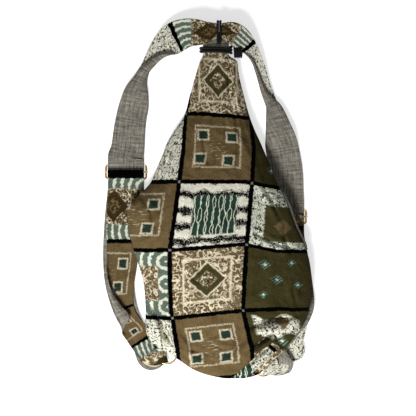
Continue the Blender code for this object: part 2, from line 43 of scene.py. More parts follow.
# The pouch in mm, from the tied neck to the bottom: y, left edge, right edge, seam height, crown
outlineRows = (
    (252, -12, 30, 14.5, 7), (234.5, -12, 30, 14.5, 7), (225, -17, 43, 14.0, 10), (212, -21, 45, 13.5, 12),
    (195, -26, 48, 13.0, 14), (167, -34, 55, 13.0, 18), (137, -42, 63, 14.0, 22), (112, -58, 72, 15.5, 25),
    (90, -71, 82, 17.0, 27), (66, -80, 92, 19.0, 29), (43, -90, 101, 21.0, 31), (23, -99, 109, 23.0, 32),
    (3, -118, 119, 24.5, 33), (-15, -135, 127, 25.5, 34), (-46, -134, 138, 26.0, 36), (-78, -127, 153, 25.5, 38),
    (-109, -117, 162, 24.5, 39), (-140, -109, 164, 23.5, 39), (-175, -106, 162, 22.5, 37),
    (-201, -106, 155, 21.5, 34), (-223, -104, 141, 20.5, 30), (-240, -92, 128, 19.5, 25),
    (-254, -69, 116, 18.5, 20), (-268, -48, 103, 17.5, 14), (-282, -27, 88, 16.5, 9), (-291, -2, 75, 16.0, 5),
    (-296, 22, 56, 15.5, 2),
)
pouch = {
    "cloth": 0.9, "lining": 0.8, "seamGap": 1.0, "liningDrop": 2.2, "liningInset": 8.0,
    "flatShare": 0.2, "endSpan": 62.0, "neckRise": 7.0, "columns": 150, "rowStep": 1.9,
    "gathers": 9, "gatherHeight": 1.5, "pleatHeight": 4.0, "slack": 1.5,
}
# Folds on the front in mm: x, y, heading in degrees, length, width on the left of the heading, on its right, height
folds = (
    (-92, -202, 292, 78, 5, 16, 10.0), (-82, -198, 292, 70, 4, 3, -6.0), (-62, -214, 290, 84, 6, 12, 6.0),
    (-74, -226, 70, 34, 7, 7, -12.0), (-100, -150, 278, 90, 6, 12, 5.0), (-40, -236, 300, 60, 5, 8, 4.5),
    (-22, -262, 330, 60, 5, 7, 3.5), (98, -212, 18, 66, 7, 9, 12.0), (104, -194, 12, 84, 4, 4, -7.0), (108, -184, 4, 90, 18, 7, 6.0),
    (86, -231, 30, 44, 4, 4, -8.0), (84, -258, 43, 54, 8, 6, 10.0), (117, -240, 48, 44, 8, 8, -12.0), (134, -212, 58, 46, 6, 6, 7.0),
    (60, -236, 66, 60, 7, 9, 6.0), (42, -244, 58, 56, 7, 7, -5.0), (58, -276, 28, 60, 5, 5, 5.0),
    (-20, -247, 8, 44, 4, 4, 3.0), (24, -240, -6, 40, 4, 4, 2.4), (4, -262, 4, 60, 5, 4, 3.0), (8, -222, 12, 50, 5, 5, -2.4),
    (120, -100, 100, 110, 8, 12, 4.0), (138, -150, 84, 80, 7, 10, 4.0), (96, -140, 78, 120, 12, 12, 2.4),
    (-96, -60, 70, 100, 10, 12, 3.6), (-70, -20, 50, 90, 8, 14, 3.0), (-110, -20, 58, 60, 6, 8, 3.4),
    (-50, 60, 66, 110, 7, 10, 3.2), (-62, 20, 58, 110, 8, 12, 2.8), (68, 54, 116, 110, 9, 7, 3.2),
    (92, -10, 122, 110, 10, 8, 3.4), (60, -40, 100, 120, 14, 12, 2.2), (2, 30, 84, 150, 12, 14, 2.0), (-20, -80, 76, 130, 13, 12, 2.0),
    (30, -120, 96, 130, 14, 12, 2.0), (20, 90, 92, 120, 8, 9, 2.2), (-8, 110, 80, 110, 7, 8, 2.2), (44, 100, 104, 110, 7, 8, 2.2),
)

# Pinched creases on the front in mm: depth, width, then the points each one runs through
creaseLines = (
    (7.0, 3.0, (63, -208), (85, -201), (100, -196), (121, -195), (141, -191)),
    (9.0, 3.0, (70, -238), (85, -231), (101, -221), (113, -231)),
    (12.0, 6.0, (111, -236), (121, -246)),
    (6.0, 2.6, (100, -237), (86, -247), (70, -262), (58, -278)),
    (9.0, 3.0, (-97, -175), (-80, -201), (-77, -221), (-67, -229), (-57, -243)),
    (10.0, 5.0, (-76, -222), (-73, -236)),
    (5.0, 6.0, (54, -218), (45, -236), (35, -251)),
    (4.0, 2.8, (-31, -246), (-18, -249), (-6, -252)),
    (3.5, 2.8, (4, -236), (16, -243), (28, -246)),
    (4.0, 3.0, (-50, -250), (-36, -262), (-16, -272)),
    (5.0, 2.6, (-20, 220), (-25, 190), (-31, 160)),
    (4.0, 2.8, (73, -56), (88, -66), (106, -74), (134, -81)),
    (3.5, 3.0, (84, 20), (98, -4), (112, -34)),
    (3.0, 3.0, (120, -30), (118, -62), (128, -88)),
    (3.5, 3.0, (-110, 0), (-96, -22), (-90, -48)),
    (3.0, 3.0, (-60, 96), (-66, 66), (-74, 44)),
    (3.0, 3.0, (-92, -110), (-88, -140), (-94, -166)),
    (2.6, 3.2, (-8, 128), (-12, 92), (-4, 56)),
    (2.6, 3.2, (40, 120), (46, 84), (40, 52)),
    (3.0, 3.0, (140, -120), (132, -146), (138, -170)),
    (2.4, 3.6, (-40, -120), (-20, -134), (6, -128)),
    (2.4, 3.6, (20, -30), (36, -52), (34, -78)),
)

# Strap routes in mm, from the knot to the ring: x, y, clear height below, share of the width, roll in degrees
straps = {
    "left": {
        "above": (
            (-9, 270, 26.5, 0.62, 0), (-40, 270, 17, 0.80, 0), (-64, 261, 9, 0.85, 12), (-87, 244, 4, 0.70, 50),
            (-107, 216, 1, 0.60, 86), (-116, 197, 0, 0.62, 112), (-122, 178, 0, 0.76, 142), (-127, 153, 0, 0.82, 164),
            (-133, 122, 0, 0.86, 180), (-137, 84, 0, 0.93, 180),
        ),
        "below": (
            (-143, -6, 0, 0.98, 180), (-148, -52, 0, 0.95, 180), (-151, -100, 0, 0.90, 180),
            (-150, -144, 0, 0.80, 180), (-141, -184, 0, 0.68, 180), (-126, -216, 0, 0.60, 180),
            (-111, -243, 0, 0.62, 180),
        ),
        "return": (
            (-142, -6, 0, 0.96, 0), (-145, -52, 0, 0.90, 4), (-146, -100, 0, 0.86, 14), (-148, -144, 0, 0.84, 34),
            (-144, -176, 0, 0.84, 62), (-135, -198, 0, 0.82, 72), (-126, -218, 0, 0.68, 14), (-112, -240, 0, 0.66, 0),
        ),
        "slider": (-140.0, 43.0), "turn": 1, "ring": (-72.0, -259.0), "strapAt": 185.0, "tabAt": 62.0, "fan": (1.55, 1.35), "drop": -5.0, "printMiddle": (0.5, 0.67), "flapTop": 20.0,
        "designs": (9, 3, 4, 2), "firstBar": 72.0, "tailDesigns": (9, 9, 1, 1, 6, 3, 3), "tailBars": (36.0, 108, 112, 60, 110),
    },
    "right": {
        "above": (
            (36, 269, 26.5, 0.60, 0), (52, 259, 19, 0.58, -6), (65, 246, 14, 0.44, -20), (76, 229, 9, 0.36, -36),
            (84, 208, 5, 0.40, -50), (91, 184, 3, 0.46, -62), (99, 162, 1, 0.64, -84), (106, 145, 0, 0.84, -102),
            (112, 119, 0, 0.90, -130), (117, 94, 0, 0.90, -160), (122, 62, 0, 0.94, -180), (124, 38, 0, 0.97, -180),
        ),
        "below": (
            (130, -86, 0, 0.94, -180), (138, -112, 0, 0.90, -180), (145, -150, 0, 0.84, -176),
            (151, -182, 1, 0.76, -146), (148, -208, 2, 0.82, -88), (138, -234, 3, 0.86, -68), (132, -256, 2, 0.98, -56),
        ),
        "return": (
            (131, -86, 0, 0.94, 0), (137, -112, 0, 0.88, 0), (139, -150, 2, 0.80, 0), (135, -184, 5, 0.66, 0),
            (125, -214, 6.5, 0.50, 0), (114, -240, 5, 0.40, 0), (111, -260, 2, 0.38, 0),
        ),
        "slider": (125.0, -31.0), "turn": -1, "ring": (87.0, -279.0), "strapAt": 5.0, "tabAt": 112.0, "fan": (1.5, 1.15), "drop": 0.0, "printMiddle": (0.5, 0.5), "flapTop": 19.8,
        "designs": (9, 3, 4, 0, 3, 3, 3), "firstBar": 56.0, "tailDesigns": (7, 4, 1, 3, 3), "tailBars": (-49.5, 110, 110, 160, 110),
    },
}
strap = {"width": 60.0, "cloth": 0.6, "knotX": 14.0, "knotY": 274.0, "knotShare": 0.38, "knotSeam": 2.4, "bend": 0.26, "puff": 4.5, "columns": 30}
slider = {
    "bar": 1.5, "length": 22.0, "sideClear": 2.0, "travel": 8.0, "flap": 30.0, "under": 9.0, "endCloth": 1.5,
    "nub": 3.0,
}
wireRing = {"radius": 16.0, "wire": 1.3, "strapPass": 25.0, "slack": 1.1, "bunch": 3.0, "fill": 9.0}
tab = {"width": 18.0, "cloth": 1.2, "length": 22.0}
neck = {"x": 9.0, "y": 252.0, "half": 21.0, "z": 14.5, "hemLength": 17.0, "hemFlare": 5.0, "hemWave": 0.6}
cords = {"neck": 2.4, "neckTurns": 2, "knot": 1.6, "knotTurns": 4, "knotRadius": 8.5, "knotDrop": 3.5, "lashing": 2.0, "lashingLength": 35.6}

# Levels that follow from the sizes above, in mm
floorGap = 0.3
band = 2 * strap["cloth"] + 0.3
sliderLift = 2 * slider["bar"]
centreBar = floorGap + sliderLift + band + 0.6 + slider["endCloth"] + slider["bar"]
ringLevel = floorGap + band + 0.3 + wireRing["wire"]
ringTurn = wireRing["wire"] + wireRing["slack"] + wireRing["bunch"] + band / 2
hemTop = neck["z"] + pouch["neckRise"] + neck["hemWave"] + pouch["cloth"]
lashLow = hemTop + 0.3 + cords["lashing"]
knotLift = lashLow + cords["lashing"] + 0.3

# Where the black bars of the print run on the front, in mm: y and x of each upright bar, then y of each level bar
uprightBars = (
    (155, -35.5, 60), (135, -40.4, 65.2), (79, -43.7, 70), (26, -50.3, 66.8), (-28, -56.9, 61.9),
    (-83, -65.2, 56.9), (-135, -65.2, 53.6), (-180, -63.5, 52), (-243, -53.6, 66.8), (-296, -50, 70),
)
levelBars = (                                           # x, then y of each level bar there
    (-121, 139, 25.6, -85, -194), (-63.5, 139, 25.6, -83.8, -194), (-6, 135.5, 25.6, -79.2, -186.5),
    (53.6, 131, 25.6, -74, -180), (106, 128, 16.5, -85.8, -177.4), (159, 127, 10, -87.5, -181.5),
)
cellSize = 110.0


def through(rows, steps):
    rows = np.asarray(rows, float)
    padded = np.vstack([2 * rows[0] - rows[1], rows, 2 * rows[-1] - rows[-2]])
    points = []
    for i in range(1, len(padded) - 2):
        a, b, c, d = padded[i - 1:i + 3]
        for t in np.arange(steps) / steps:
            bend = (2 * a - 5 * b + 4 * c - d) * t * t + (3 * b - a - 3 * c + d) * t ** 3
            points.append(b + 0.5 * ((c - a) * t + bend))
    points.append(rows[-1])
    return np.array(points)


def smooth(t):
    t = np.clip(t, 0.0, 1.0)
    return t * t * (3.0 - 2.0 * t)


waveTable = np.random.default_rng(7).uniform(0, 2 * math.pi, (40, 3))


def rumple(x, y, size, seed=0):                         # smooth wandering noise, about -1 to 1, size in mm
    total = np.zeros_like(np.asarray(x, float))
    for k in range(7):
        a, b, c = waveTable[(seed * 7 + k) % 40]
        total = total + np.sin((x * math.cos(a) + y * math.sin(a)) * (2 * math.pi / size) * (0.6 + 0.13 * k) + b) * (0.6 + 0.4 * math.sin(c))
    return total / 3.2


def pinched(wave):                                      # soft hollows between sharp ridges
    return 1.0 - np.minimum(1.0, np.abs(wave) * 1.6) ** 0.8


# ---- cloth shells ----

def gridNormals(grid, closed):
    down = np.gradient(grid, axis=0)
    if closed:
        over = (np.roll(grid, -1, axis=1) - np.roll(grid, 1, axis=1)) / 2
    else:
        over = np.gradient(grid, axis=1)
    normal = np.cross(down, over)
    return normal / np.maximum(np.linalg.norm(normal, axis=2, keepdims=True), 1e-12)


def clothShell(name, grid, thick, finish, patch=None, weave=None, designs=None, closed=False):
    grid = np.asarray(grid, float)                      # rows x columns x 3, in mm; the face side is rows x columns
    rows, cols = grid.shape[:2]
    normal = gridNormals(grid, closed)
    points = np.concatenate([(grid + normal * thick / 2).reshape(-1, 3), (grid - normal * thick / 2).reshape(-1, 3)])
    wide = cols if closed else cols - 1
    i, j = [part.ravel() for part in np.meshgrid(np.arange(rows - 1), np.arange(wide), indexing="ij")]
    quads = [
        [(0, i, j), (0, i + 1, j), (0, i + 1, j + 1), (0, i, j + 1)],
        [(1, i, j), (1, i, j + 1), (1, i + 1, j + 1), (1, i + 1, j)],
    ]
    cellOf = [(i, j), (i, j)]
    j = np.arange(wide)
    top, end = np.zeros_like(j), np.full_like(j, rows - 1)
    quads.append([(0, top, j), (0, top, j + 1), (1, top, j + 1), (1, top, j)])
    quads.append([(0, end, j + 1), (0, end, j), (1, end, j), (1, end, j + 1)])
    cellOf += [(top, j), (end - 1, j)]
    if not closed:
        i = np.arange(rows - 1)
        first, last = np.zeros_like(i), np.full_like(i, cols - 1)
        quads.append([(0, i + 1, first), (0, i, first), (1, i, first), (1, i + 1, first)])
        quads.append([(0, i, last), (0, i + 1, last), (1, i + 1, last), (1, i, last)])
        cellOf += [(i, first), (i, last - 1)]
    index, rowOf, colOf, cells = [], [], [], []
    for quad, (ci, cj) in zip(quads, cellOf):
        side = [np.full_like(q[1], q[0]) for q in quad]
        r, c = np.stack([q[1] for q in quad], 1), np.stack([q[2] for q in quad], 1)
        index.append(np.stack(side, 1) * rows * cols + r * cols + c % cols)
        rowOf.append(r)
        colOf.append(c)
        cells.append(np.stack([ci, cj], 1))
    index, rowOf, colOf, cells = [np.concatenate(part) for part in (index, rowOf, colOf, cells)]
    mesh = bpy.data.meshes.new(name)
    mesh.from_pydata((points * mm).tolist(), [], index.tolist())
    for layer, data in (("weave", weave), ("print", patch)):
        if data is not None:
            data = np.asarray(data, float)
            if closed:
                step = data[:, -1:] - data[:, -2:-1]
                data = np.concatenate([data, data[:, -1:] + step], axis=1)
            uv = mesh.uv_layers.new(name=layer)
            uv.data.foreach_set("uv", data[rowOf.ravel(), colOf.ravel()].ravel().astype(np.float32))
    if designs is not None:
        store = mesh.attributes.new("design", "FLOAT", "FACE")
        store.data.foreach_set("value", np.asarray(designs, float)[cells[:, 0], cells[:, 1]].astype(np.float32))
    mesh.shade_smooth()
    mesh.materials.append(finish)
    made = bpy.data.objects.new(name, mesh)
    bpy.context.scene.collection.objects.link(made)
    return made


def roundTube(name, path, radius, finish, sides=12, closed=False, twist=0.0, ridge=0.0, ridges=3):
    path = np.asarray(path, float)                      # a cord or wire, in mm, with its ends closed
    count = len(path)
    runs = np.roll(path, -1, 0) - np.roll(path, 1, 0)
    if not closed:
        runs[0], runs[-1] = path[1] - path[0], path[-1] - path[-2]
    runs /= np.linalg.norm(runs, axis=1)[:, None]
    side = np.cross(runs[0], (0.3, 0.2, 1.0))
    side /= np.linalg.norm(side)
    sides3 = []
    for run in runs:
        side = side - run * np.dot(side, run)
        side /= np.linalg.norm(side)
        sides3.append(side)
    sides3 = np.array(sides3)
    steps = np.linalg.norm(np.diff(path, axis=0), axis=1)
    along = np.concatenate([[0], np.cumsum(steps)])
    turns = np.linspace(0, 2 * math.pi, sides, endpoint=False)
    radius = np.broadcast_to(np.asarray(radius, float), (count,))
    spin = turns[None, :] + (along * twist)[:, None]
    swell = 1 + ridge * np.cos(ridges * turns)[None, :]
    lift = np.cross(runs, sides3)
    grid = path[:, None] + (radius[:, None] * swell)[..., None] * (
        np.cos(spin)[..., None] * sides3[:, None] + np.sin(spin)[..., None] * lift[:, None])
    faces, uvs = [], []
    lastRow = count if closed else count - 1
    for a in range(lastRow):
        b = (a + 1) % count
        far = along[a + 1] if a + 1 < count else along[-1] + np.linalg.norm(path[0] - path[-1])
        for c in range(sides):
            d = (c + 1) % sides
            faces.append((a * sides + c, a * sides + d, b * sides + d, b * sides + c))
            uvs += [(c / sides, along[a] * mm), ((c + 1) / sides, along[a] * mm), ((c + 1) / sides, far * mm), (c / sides, far * mm)]
    if not closed:
        faces.append(tuple(range(sides))[::-1])
        faces.append(tuple((count - 1) * sides + c for c in range(sides)))
        uvs += [(0.5, 0.0)] * sides + [(0.5, along[-1] * mm)] * sides
    mesh = bpy.data.meshes.new(name)
    mesh.from_pydata((grid.reshape(-1, 3) * mm).tolist(), [], faces)
    uv = mesh.uv_layers.new(name="weave")
    uv.data.foreach_set("uv", np.array(uvs, np.float32).ravel())
    mesh.shade_smooth()
    mesh.materials.append(finish)
    made = bpy.data.objects.new(name, mesh)
    bpy.context.scene.collection.objects.link(made)
    return made


def joinAll(name, pieces):                              # several closed pieces kept as one object
    work = bmesh.new()
    for piece in pieces:
        work.from_mesh(piece.data)
    mesh = bpy.data.meshes.new(name)
    work.to_mesh(mesh)
    work.free()
    for finish in pieces[0].data.materials:
        mesh.materials.append(finish)
    for piece in pieces:
        bpy.data.objects.remove(piece, do_unlink=True)
    mesh.shade_smooth()
    made = bpy.data.objects.new(name, mesh)
    bpy.context.scene.collection.objects.link(made)
    return made


# ---- materials ----

def tone(r, g, b):                                      # a colour as a photograph's numbers, 0 to 255
    return tuple(((c / 255 + 0.055) / 1.055) ** 2.4 if c > 10 else c / 255 / 12.92 for c in (r, g, b)) + (1.0,)


class nodeBoard:
    def __init__(self, name, roughness, metallic=0.0):
        self.material = bpy.data.materials.new(name)
        self.material.use_nodes = True
        self.tree = self.material.node_tree
        self.shader = self.tree.nodes["Principled BSDF"]
        self.shader.inputs["Metallic"].default_value = metallic
        self.shader.inputs["Roughness"].default_value = roughness

    def put(self, socket, value):
        if isinstance(value, bpy.types.NodeSocket):
            self.tree.links.new(value, socket)
        else:
            socket.default_value = value

    def add(self, kind, values=(), **settings):
        node = self.tree.nodes.new("ShaderNode" + kind)
        for key, value in settings.items():
            setattr(node, key, value)
        for key, value in values:
            self.put(node.inputs[key], value)
        return node

    def sum(self, operation, *values):
        return self.add("Math", enumerate(values), operation=operation).outputs[0]

    def times(self, *values):
        total = values[0]
        for value in values[1:]:
            total = self.sum("MULTIPLY", total, value)
        return total

    def mix(self, share, first, second):
        return self.add("Mix", ((0, share), (6, first), (7, second)), data_type="RGBA").outputs[2]

    def span(self, value, low, high, start=0.0, stop=1.0):
        return self.add("MapRange", enumerate((value, low, high, start, stop))).outputs[0]

    def noise(self, vector, scale, detail=2.0, rough=0.5):
        values = (("Vector", vector), ("Scale", scale), ("Detail", detail), ("Roughness", rough))
        return self.add("TexNoise", values).outputs["Fac"]

    def stretched(self, vector, x, y, z=1.0):
        return self.add("Mapping", ((0, vector), (3, (x, y, z)))).outputs[0]

    def uv(self, layer):
        return self.add("UVMap", uv_map=layer).outputs[0]

    def bump(self, height, distance, strength=1.0, before=None):
        values = [("Height", height), ("Distance", distance), ("Strength", strength)]
        if before is not None:
            values.append(("Normal", before))
        return self.add("Bump", values).outputs[0]


def weaveHeight(board, vector, threads):                # plain weave: crossing threads, threads a metre
    split = board.add("SeparateXYZ", ((0, vector),))
    across = board.sum("SINE", board.times(split.outputs[0], threads * 2 * math.pi))
    along = board.sum("SINE", board.times(split.outputs[1], threads * 2 * math.pi))
    return board.sum("ADD", board.times(across, 0.5), board.times(along, 0.5))


def boxMask(board, x, y, cx, cy, halfX, halfY, soft=0.012):      # 1 inside a box of the print, 0 outside
    dx = board.sum("SUBTRACT", board.sum("ABSOLUTE", board.sum("SUBTRACT", x, cx)), halfX)
    dy = board.sum("SUBTRACT", board.sum("ABSOLUTE", board.sum("SUBTRACT", y, cy)), halfY)
    return board.span(board.sum("MAXIMUM", dx, dy), -soft, soft, 1.0, 0.0)


def diamondMask(board, x, y, cx, cy, half, soft=0.012):
    dx = board.sum("ABSOLUTE", board.sum("SUBTRACT", x, cx))
    dy = board.sum("ABSOLUTE", board.sum("SUBTRACT", y, cy))
    return board.span(board.sum("SUBTRACT", board.sum("ADD", dx, dy), half), -soft, soft, 1.0, 0.0)


def unlike(board, outer, inner):                        # the outer shape without the inner one
    return board.times(outer, board.sum("SUBTRACT", 1.0, inner))


printTones = {
    "black": tone(1, 1, 1), "tan": tone(108, 91, 62), "deepTan": tone(92, 76, 48), "olive": tone(66, 61, 35),
    "darkOlive": tone(54, 49, 25), "teal": tone(36, 52, 42), "lineTeal": tone(38, 62, 50), "paleTeal": tone(88, 132, 122),
    "cream": tone(214, 216, 196), "white": tone(224, 221, 203), "greyTeal": tone(92, 106, 94),
    "fleck": tone(222, 210, 182), "fleckTan": tone(106, 91, 62), "dot": tone(120, 122, 112),
    # brown: the darker ground of design 9, partly print and partly painted shade
    "brown": tone(56, 44, 22),
}


def patchDesigns(board, place, x, y):                   # the colour of each square's design, in the table's order
    tones = printTones
    fine = board.noise(place, 60.0, 3.0, 0.7)
    blot = board.noise(place, 26.0, 2.0, 0.6)
    wide = board.noise(place, 5.0, 3.0, 0.6)

    def veins(scale, width, detail=1.0):                # meandering lines where a noise crosses its middle
        away = board.sum("ABSOLUTE", board.sum("SUBTRACT", board.noise(place, scale, detail, 0.5), 0.5))
        return board.span(away, width * 0.7, width * 1.3, 1.0, 0.0)

    def outline(shape, *sizes, thick=0.017):
        return unlike(board, shape(board, x, y, *sizes), shape(board, x, y, *sizes[:2], *[s - 2 * thick for s in sizes[2:]]))

    squiggles = board.times(veins(19.0, 0.045), board.span(blot, 0.40, 0.48))
    # 0: mottled tan with a cream frame and a dark diamond
    flecks = board.sum("MAXIMUM", board.times(veins(11.0, 0.042), board.span(wide, 0.40, 0.50)), board.times(veins(25.0, 0.040), board.span(blot, 0.50, 0.58)))
    ground = board.mix(board.span(wide, 0.35, 0.65), tones["fleckTan"], tones["deepTan"])
    mottled = board.mix(board.times(flecks, board.span(fine, 0.30, 0.45)), ground, tones["fleck"])
    diamond = board.mix(outline(boxMask, 0.5, 0.48, 0.33, 0.33, thick=0.013), mottled, tones["fleck"])
    diamond = board.mix(diamondMask(board, x, y, 0.5, 0.48, 0.27), diamond, tones["fleck"])
    diamond = board.mix(diamondMask(board, x, y, 0.5, 0.48, 0.245), diamond, tones["olive"])
    diamond = board.mix(board.times(diamondMask(board, x, y, 0.5, 0.48, 0.14), board.span(blot, 0.42, 0.5)), diamond, mottled)
    # 1: tan with a ragged cream outline and four dark squares
    squares = board.mix(board.span(wide, 0.3, 0.7), tones["tan"], tones["deepTan"])
    squares = board.mix(board.times(outline(boxMask, 0.49, 0.48, 0.335, 0.31, thick=0.008), board.span(fine, 0.44, 0.50)), squares, tones["fleck"])
    for sx, sy in ((0.28, 0.31), (0.69, 0.33), (0.25, 0.66), (0.65, 0.68)):
        squares = board.mix(board.times(boxMask(board, x, y, sx, sy, 0.085, 0.082), board.span(blot, 0.34, 0.42)), squares, tones["fleck"])
        squares = board.mix(boxMask(board, x, y, sx, sy, 0.066, 0.063), squares, tones["teal"])
    strokes = board.span(board.noise(board.stretched(place, 9.0, 70.0), 1.0, 2.0), 0.60, 0.66, 0.0, 0.6)
    squares = board.mix(board.times(boxMask(board, x, y, 0.47, 0.52, 0.13, 0.15, 0.05), strokes), squares, tones["fleck"])
    # 2: white with sponged black bands round a block of crossing lines
    bandWave = board.sum("SINE", board.sum("ADD", board.times(y, 27.0), board.times(board.noise(place, 7.0, 2.0), 5.0)))
    sponge = board.sum("ADD", board.times(bandWave, 0.16), fine)
    banded = board.mix(board.span(sponge, 0.515, 0.555), tones["white"], tones["black"])
    sway = board.times(board.sum("SINE", board.sum("ADD", board.times(y, 15.0), board.times(wide, 6.0))), 1.1)
    lineA = board.span(board.sum("SINE", board.sum("ADD", board.times(x, 78.0), sway)), 0.86, 0.97)
    lineB = board.span(board.sum("SINE", board.sum("SUBTRACT", board.times(x, 64.0), sway)), 0.92, 0.98)
    lines = board.sum("MAXIMUM", lineA, lineB)
    block = board.mix(lines, tones["lineTeal"], tones["cream"])
    banded = board.mix(boxMask(board, x, y, 0.53, 0.51, 0.30, 0.30), banded, block)
    # 3: white with dark squiggles
    squiggled = board.mix(board.sum("MAXIMUM", squiggles, board.span(fine, 0.60, 0.64)), tones["white"], tones["teal"])
    # 4: plain olive with scattered small lozenges
    olive = board.mix(board.span(wide, 0.3, 0.7), tones["olive"], tones["darkOlive"])
    hatch = board.span(board.sum("SINE", board.times(board.sum("ADD", x, y), 120.0)), 0.1, 0.5)
    for sx, sy, half in ((0.26, 0.26, 0.085), (0.62, 0.20, 0.07), (0.44, 0.50, 0.09), (0.74, 0.58, 0.07), (0.27, 0.76, 0.07)):
        motif = diamondMask(board, x, y, sx, sy, half)
        olive = board.mix(board.times(motif, hatch), olive, tones["paleTeal"])
        olive = board.mix(diamondMask(board, x, y, sx, sy, half * 0.28), olive, tones["cream"])
    # 5: squiggled cream border round an olive square
    bordered = board.mix(board.sum("MAXIMUM", squiggles, board.span(blot, 0.66, 0.70)), tones["cream"], tones["teal"])
    bordered = board.mix(boxMask(board, x, y, 0.50, 0.58, 0.29, 0.28), bordered, tones["olive"])
    bordered = board.mix(diamondMask(board, x, y, 0.47, 0.62, 0.13), bordered, tones["tan"])
    # 6: grey teal with cream arcs and a mottled strip
    arcX = board.sum("SUBTRACT", x, 0.95)
    arcY = board.sum("SUBTRACT", board.sum("FRACT", board.times(y, 3.0)), 0.5)
    reach = board.sum("SQRT", board.sum("ADD", board.times(arcX, arcX, 1.4), board.times(arcY, arcY, 0.16)))
    reach = board.sum("ADD", reach, board.times(blot, 0.08))
    arcs = board.mix(board.span(board.sum("SINE", board.times(reach, 46.0)), 0.2, 0.6), tones["greyTeal"], tones["cream"])
    arcs0 = arcs
    strip = board.mix(diamondMask(board, x, y, 0.45, 0.5, 0.20), mottled, tones["darkOlive"])
    arcs = board.mix(boxMask(board, x, y, 0.40, 0.49, 0.44, 0.26), arcs, strip)
    # 7: olive with a ragged white patch
    patchY = board.sum("ADD", y, board.times(board.sum("SINE", board.times(x, 14.0)), 0.05))
    blob = board.mix(board.sum("MAXIMUM", squiggles, board.span(fine, 0.60, 0.64)), tones["white"], tones["teal"])
    patched = board.mix(boxMask(board, x, patchY, 0.42, 0.27, 0.31, 0.14, 0.02), olive, blob)
    patched = board.mix(diamondMask(board, x, y, 0.50, 0.20, 0.10), patched, tones["tan"])
    patched = board.mix(boxMask(board, x, y, 0.5, 0.80, 0.6, 0.16, 0.02), patched, mottled)
    # 8: teal with wavy lines all over
    # 9: dark mottled tan with a dark diamond, between two strips of arcs; its darker ground is partly the print's own
    #    tone and partly painted shade for the straps' curving tops
    # a darker copy of design 0's mottle: partly the print, partly painted shade where the straps curve
    mottledPrintAndShade = board.mix(board.times(flecks, board.span(fine, 0.36, 0.52)), board.mix(wide, tones["deepTan"], tones["brown"]), tones["fleck"])
    mottledPrintAndShade = board.mix(diamondMask(board, x, y, 0.5, 0.47, 0.24), mottledPrintAndShade, tones["brown"])
    mottledPrintAndShade = board.mix(board.times(diamondMask(board, x, y, 0.5, 0.47, 0.13), board.span(blot, 0.45, 0.55)), mottledPrintAndShade, tones["tan"])
    dark = board.mix(boxMask(board, x, y, 0.5, 0.47, 2.0, 0.28), arcs0, mottledPrintAndShade)
    return diamond, squares, banded, squiggled, olive, bordered, arcs, patched, block, dark


def creased(board, weave):                              # soft rumples with a few pinched lines
    broad = board.noise(weave, 55.0, 3.0, 0.55)
    line = board.sum("ABSOLUTE", board.sum("SUBTRACT", board.noise(weave, 30.0, 2.0, 0.5), 0.5))
    return board.sum("SUBTRACT", broad, board.times(board.sum("SQRT", line), 0.6))


creaseStrip = {"x": 47.0, "y": -283.0, "heading": 43.0, "width": 17.0, "bar": 62.0, "end": 78.0}


def stripColour(board, weave, colour, layers):          # another part of the print, folded into view along a crease
    turn = math.radians(creaseStrip["heading"])
    flat = board.add("SeparateXYZ", ((0, weave),))
    x = board.sum("SUBTRACT", flat.outputs[0], creaseStrip["x"] * mm)
    y = board.sum("SUBTRACT", flat.outputs[1], creaseStrip["y"] * mm)
    wander = board.times(board.sum("SUBTRACT", board.noise(weave, 60.0, 2.0), 0.5), 8 * mm)
    along = board.sum("ADD", board.times(x, math.cos(turn)), board.times(y, math.sin(turn)))
    aside = board.sum("ADD", board.sum("SUBTRACT", board.times(x, math.sin(turn)), board.times(y, math.cos(turn))), wander)
    inside = board.times(
        board.span(aside, -0.5 * mm, 0.5 * mm), board.span(aside, creaseStrip["width"] * mm, (creaseStrip["width"] + 1) * mm, 1.0, 0.0),
        board.span(along, creaseStrip["end"] * mm, (creaseStrip["end"] + 1) * mm, 1.0, 0.0))
    strip = board.mix(board.span(along, 20 * mm, 22 * mm), layers[8], layers[3])
    strip = board.mix(board.span(along, creaseStrip["bar"] * mm, (creaseStrip["bar"] + 0.5) * mm), strip, printTones["black"])
    strip = board.mix(board.span(along, (creaseStrip["bar"] + 6) * mm, (creaseStrip["bar"] + 6.5) * mm), strip, layers[0])
    return board.mix(inside, colour, strip)


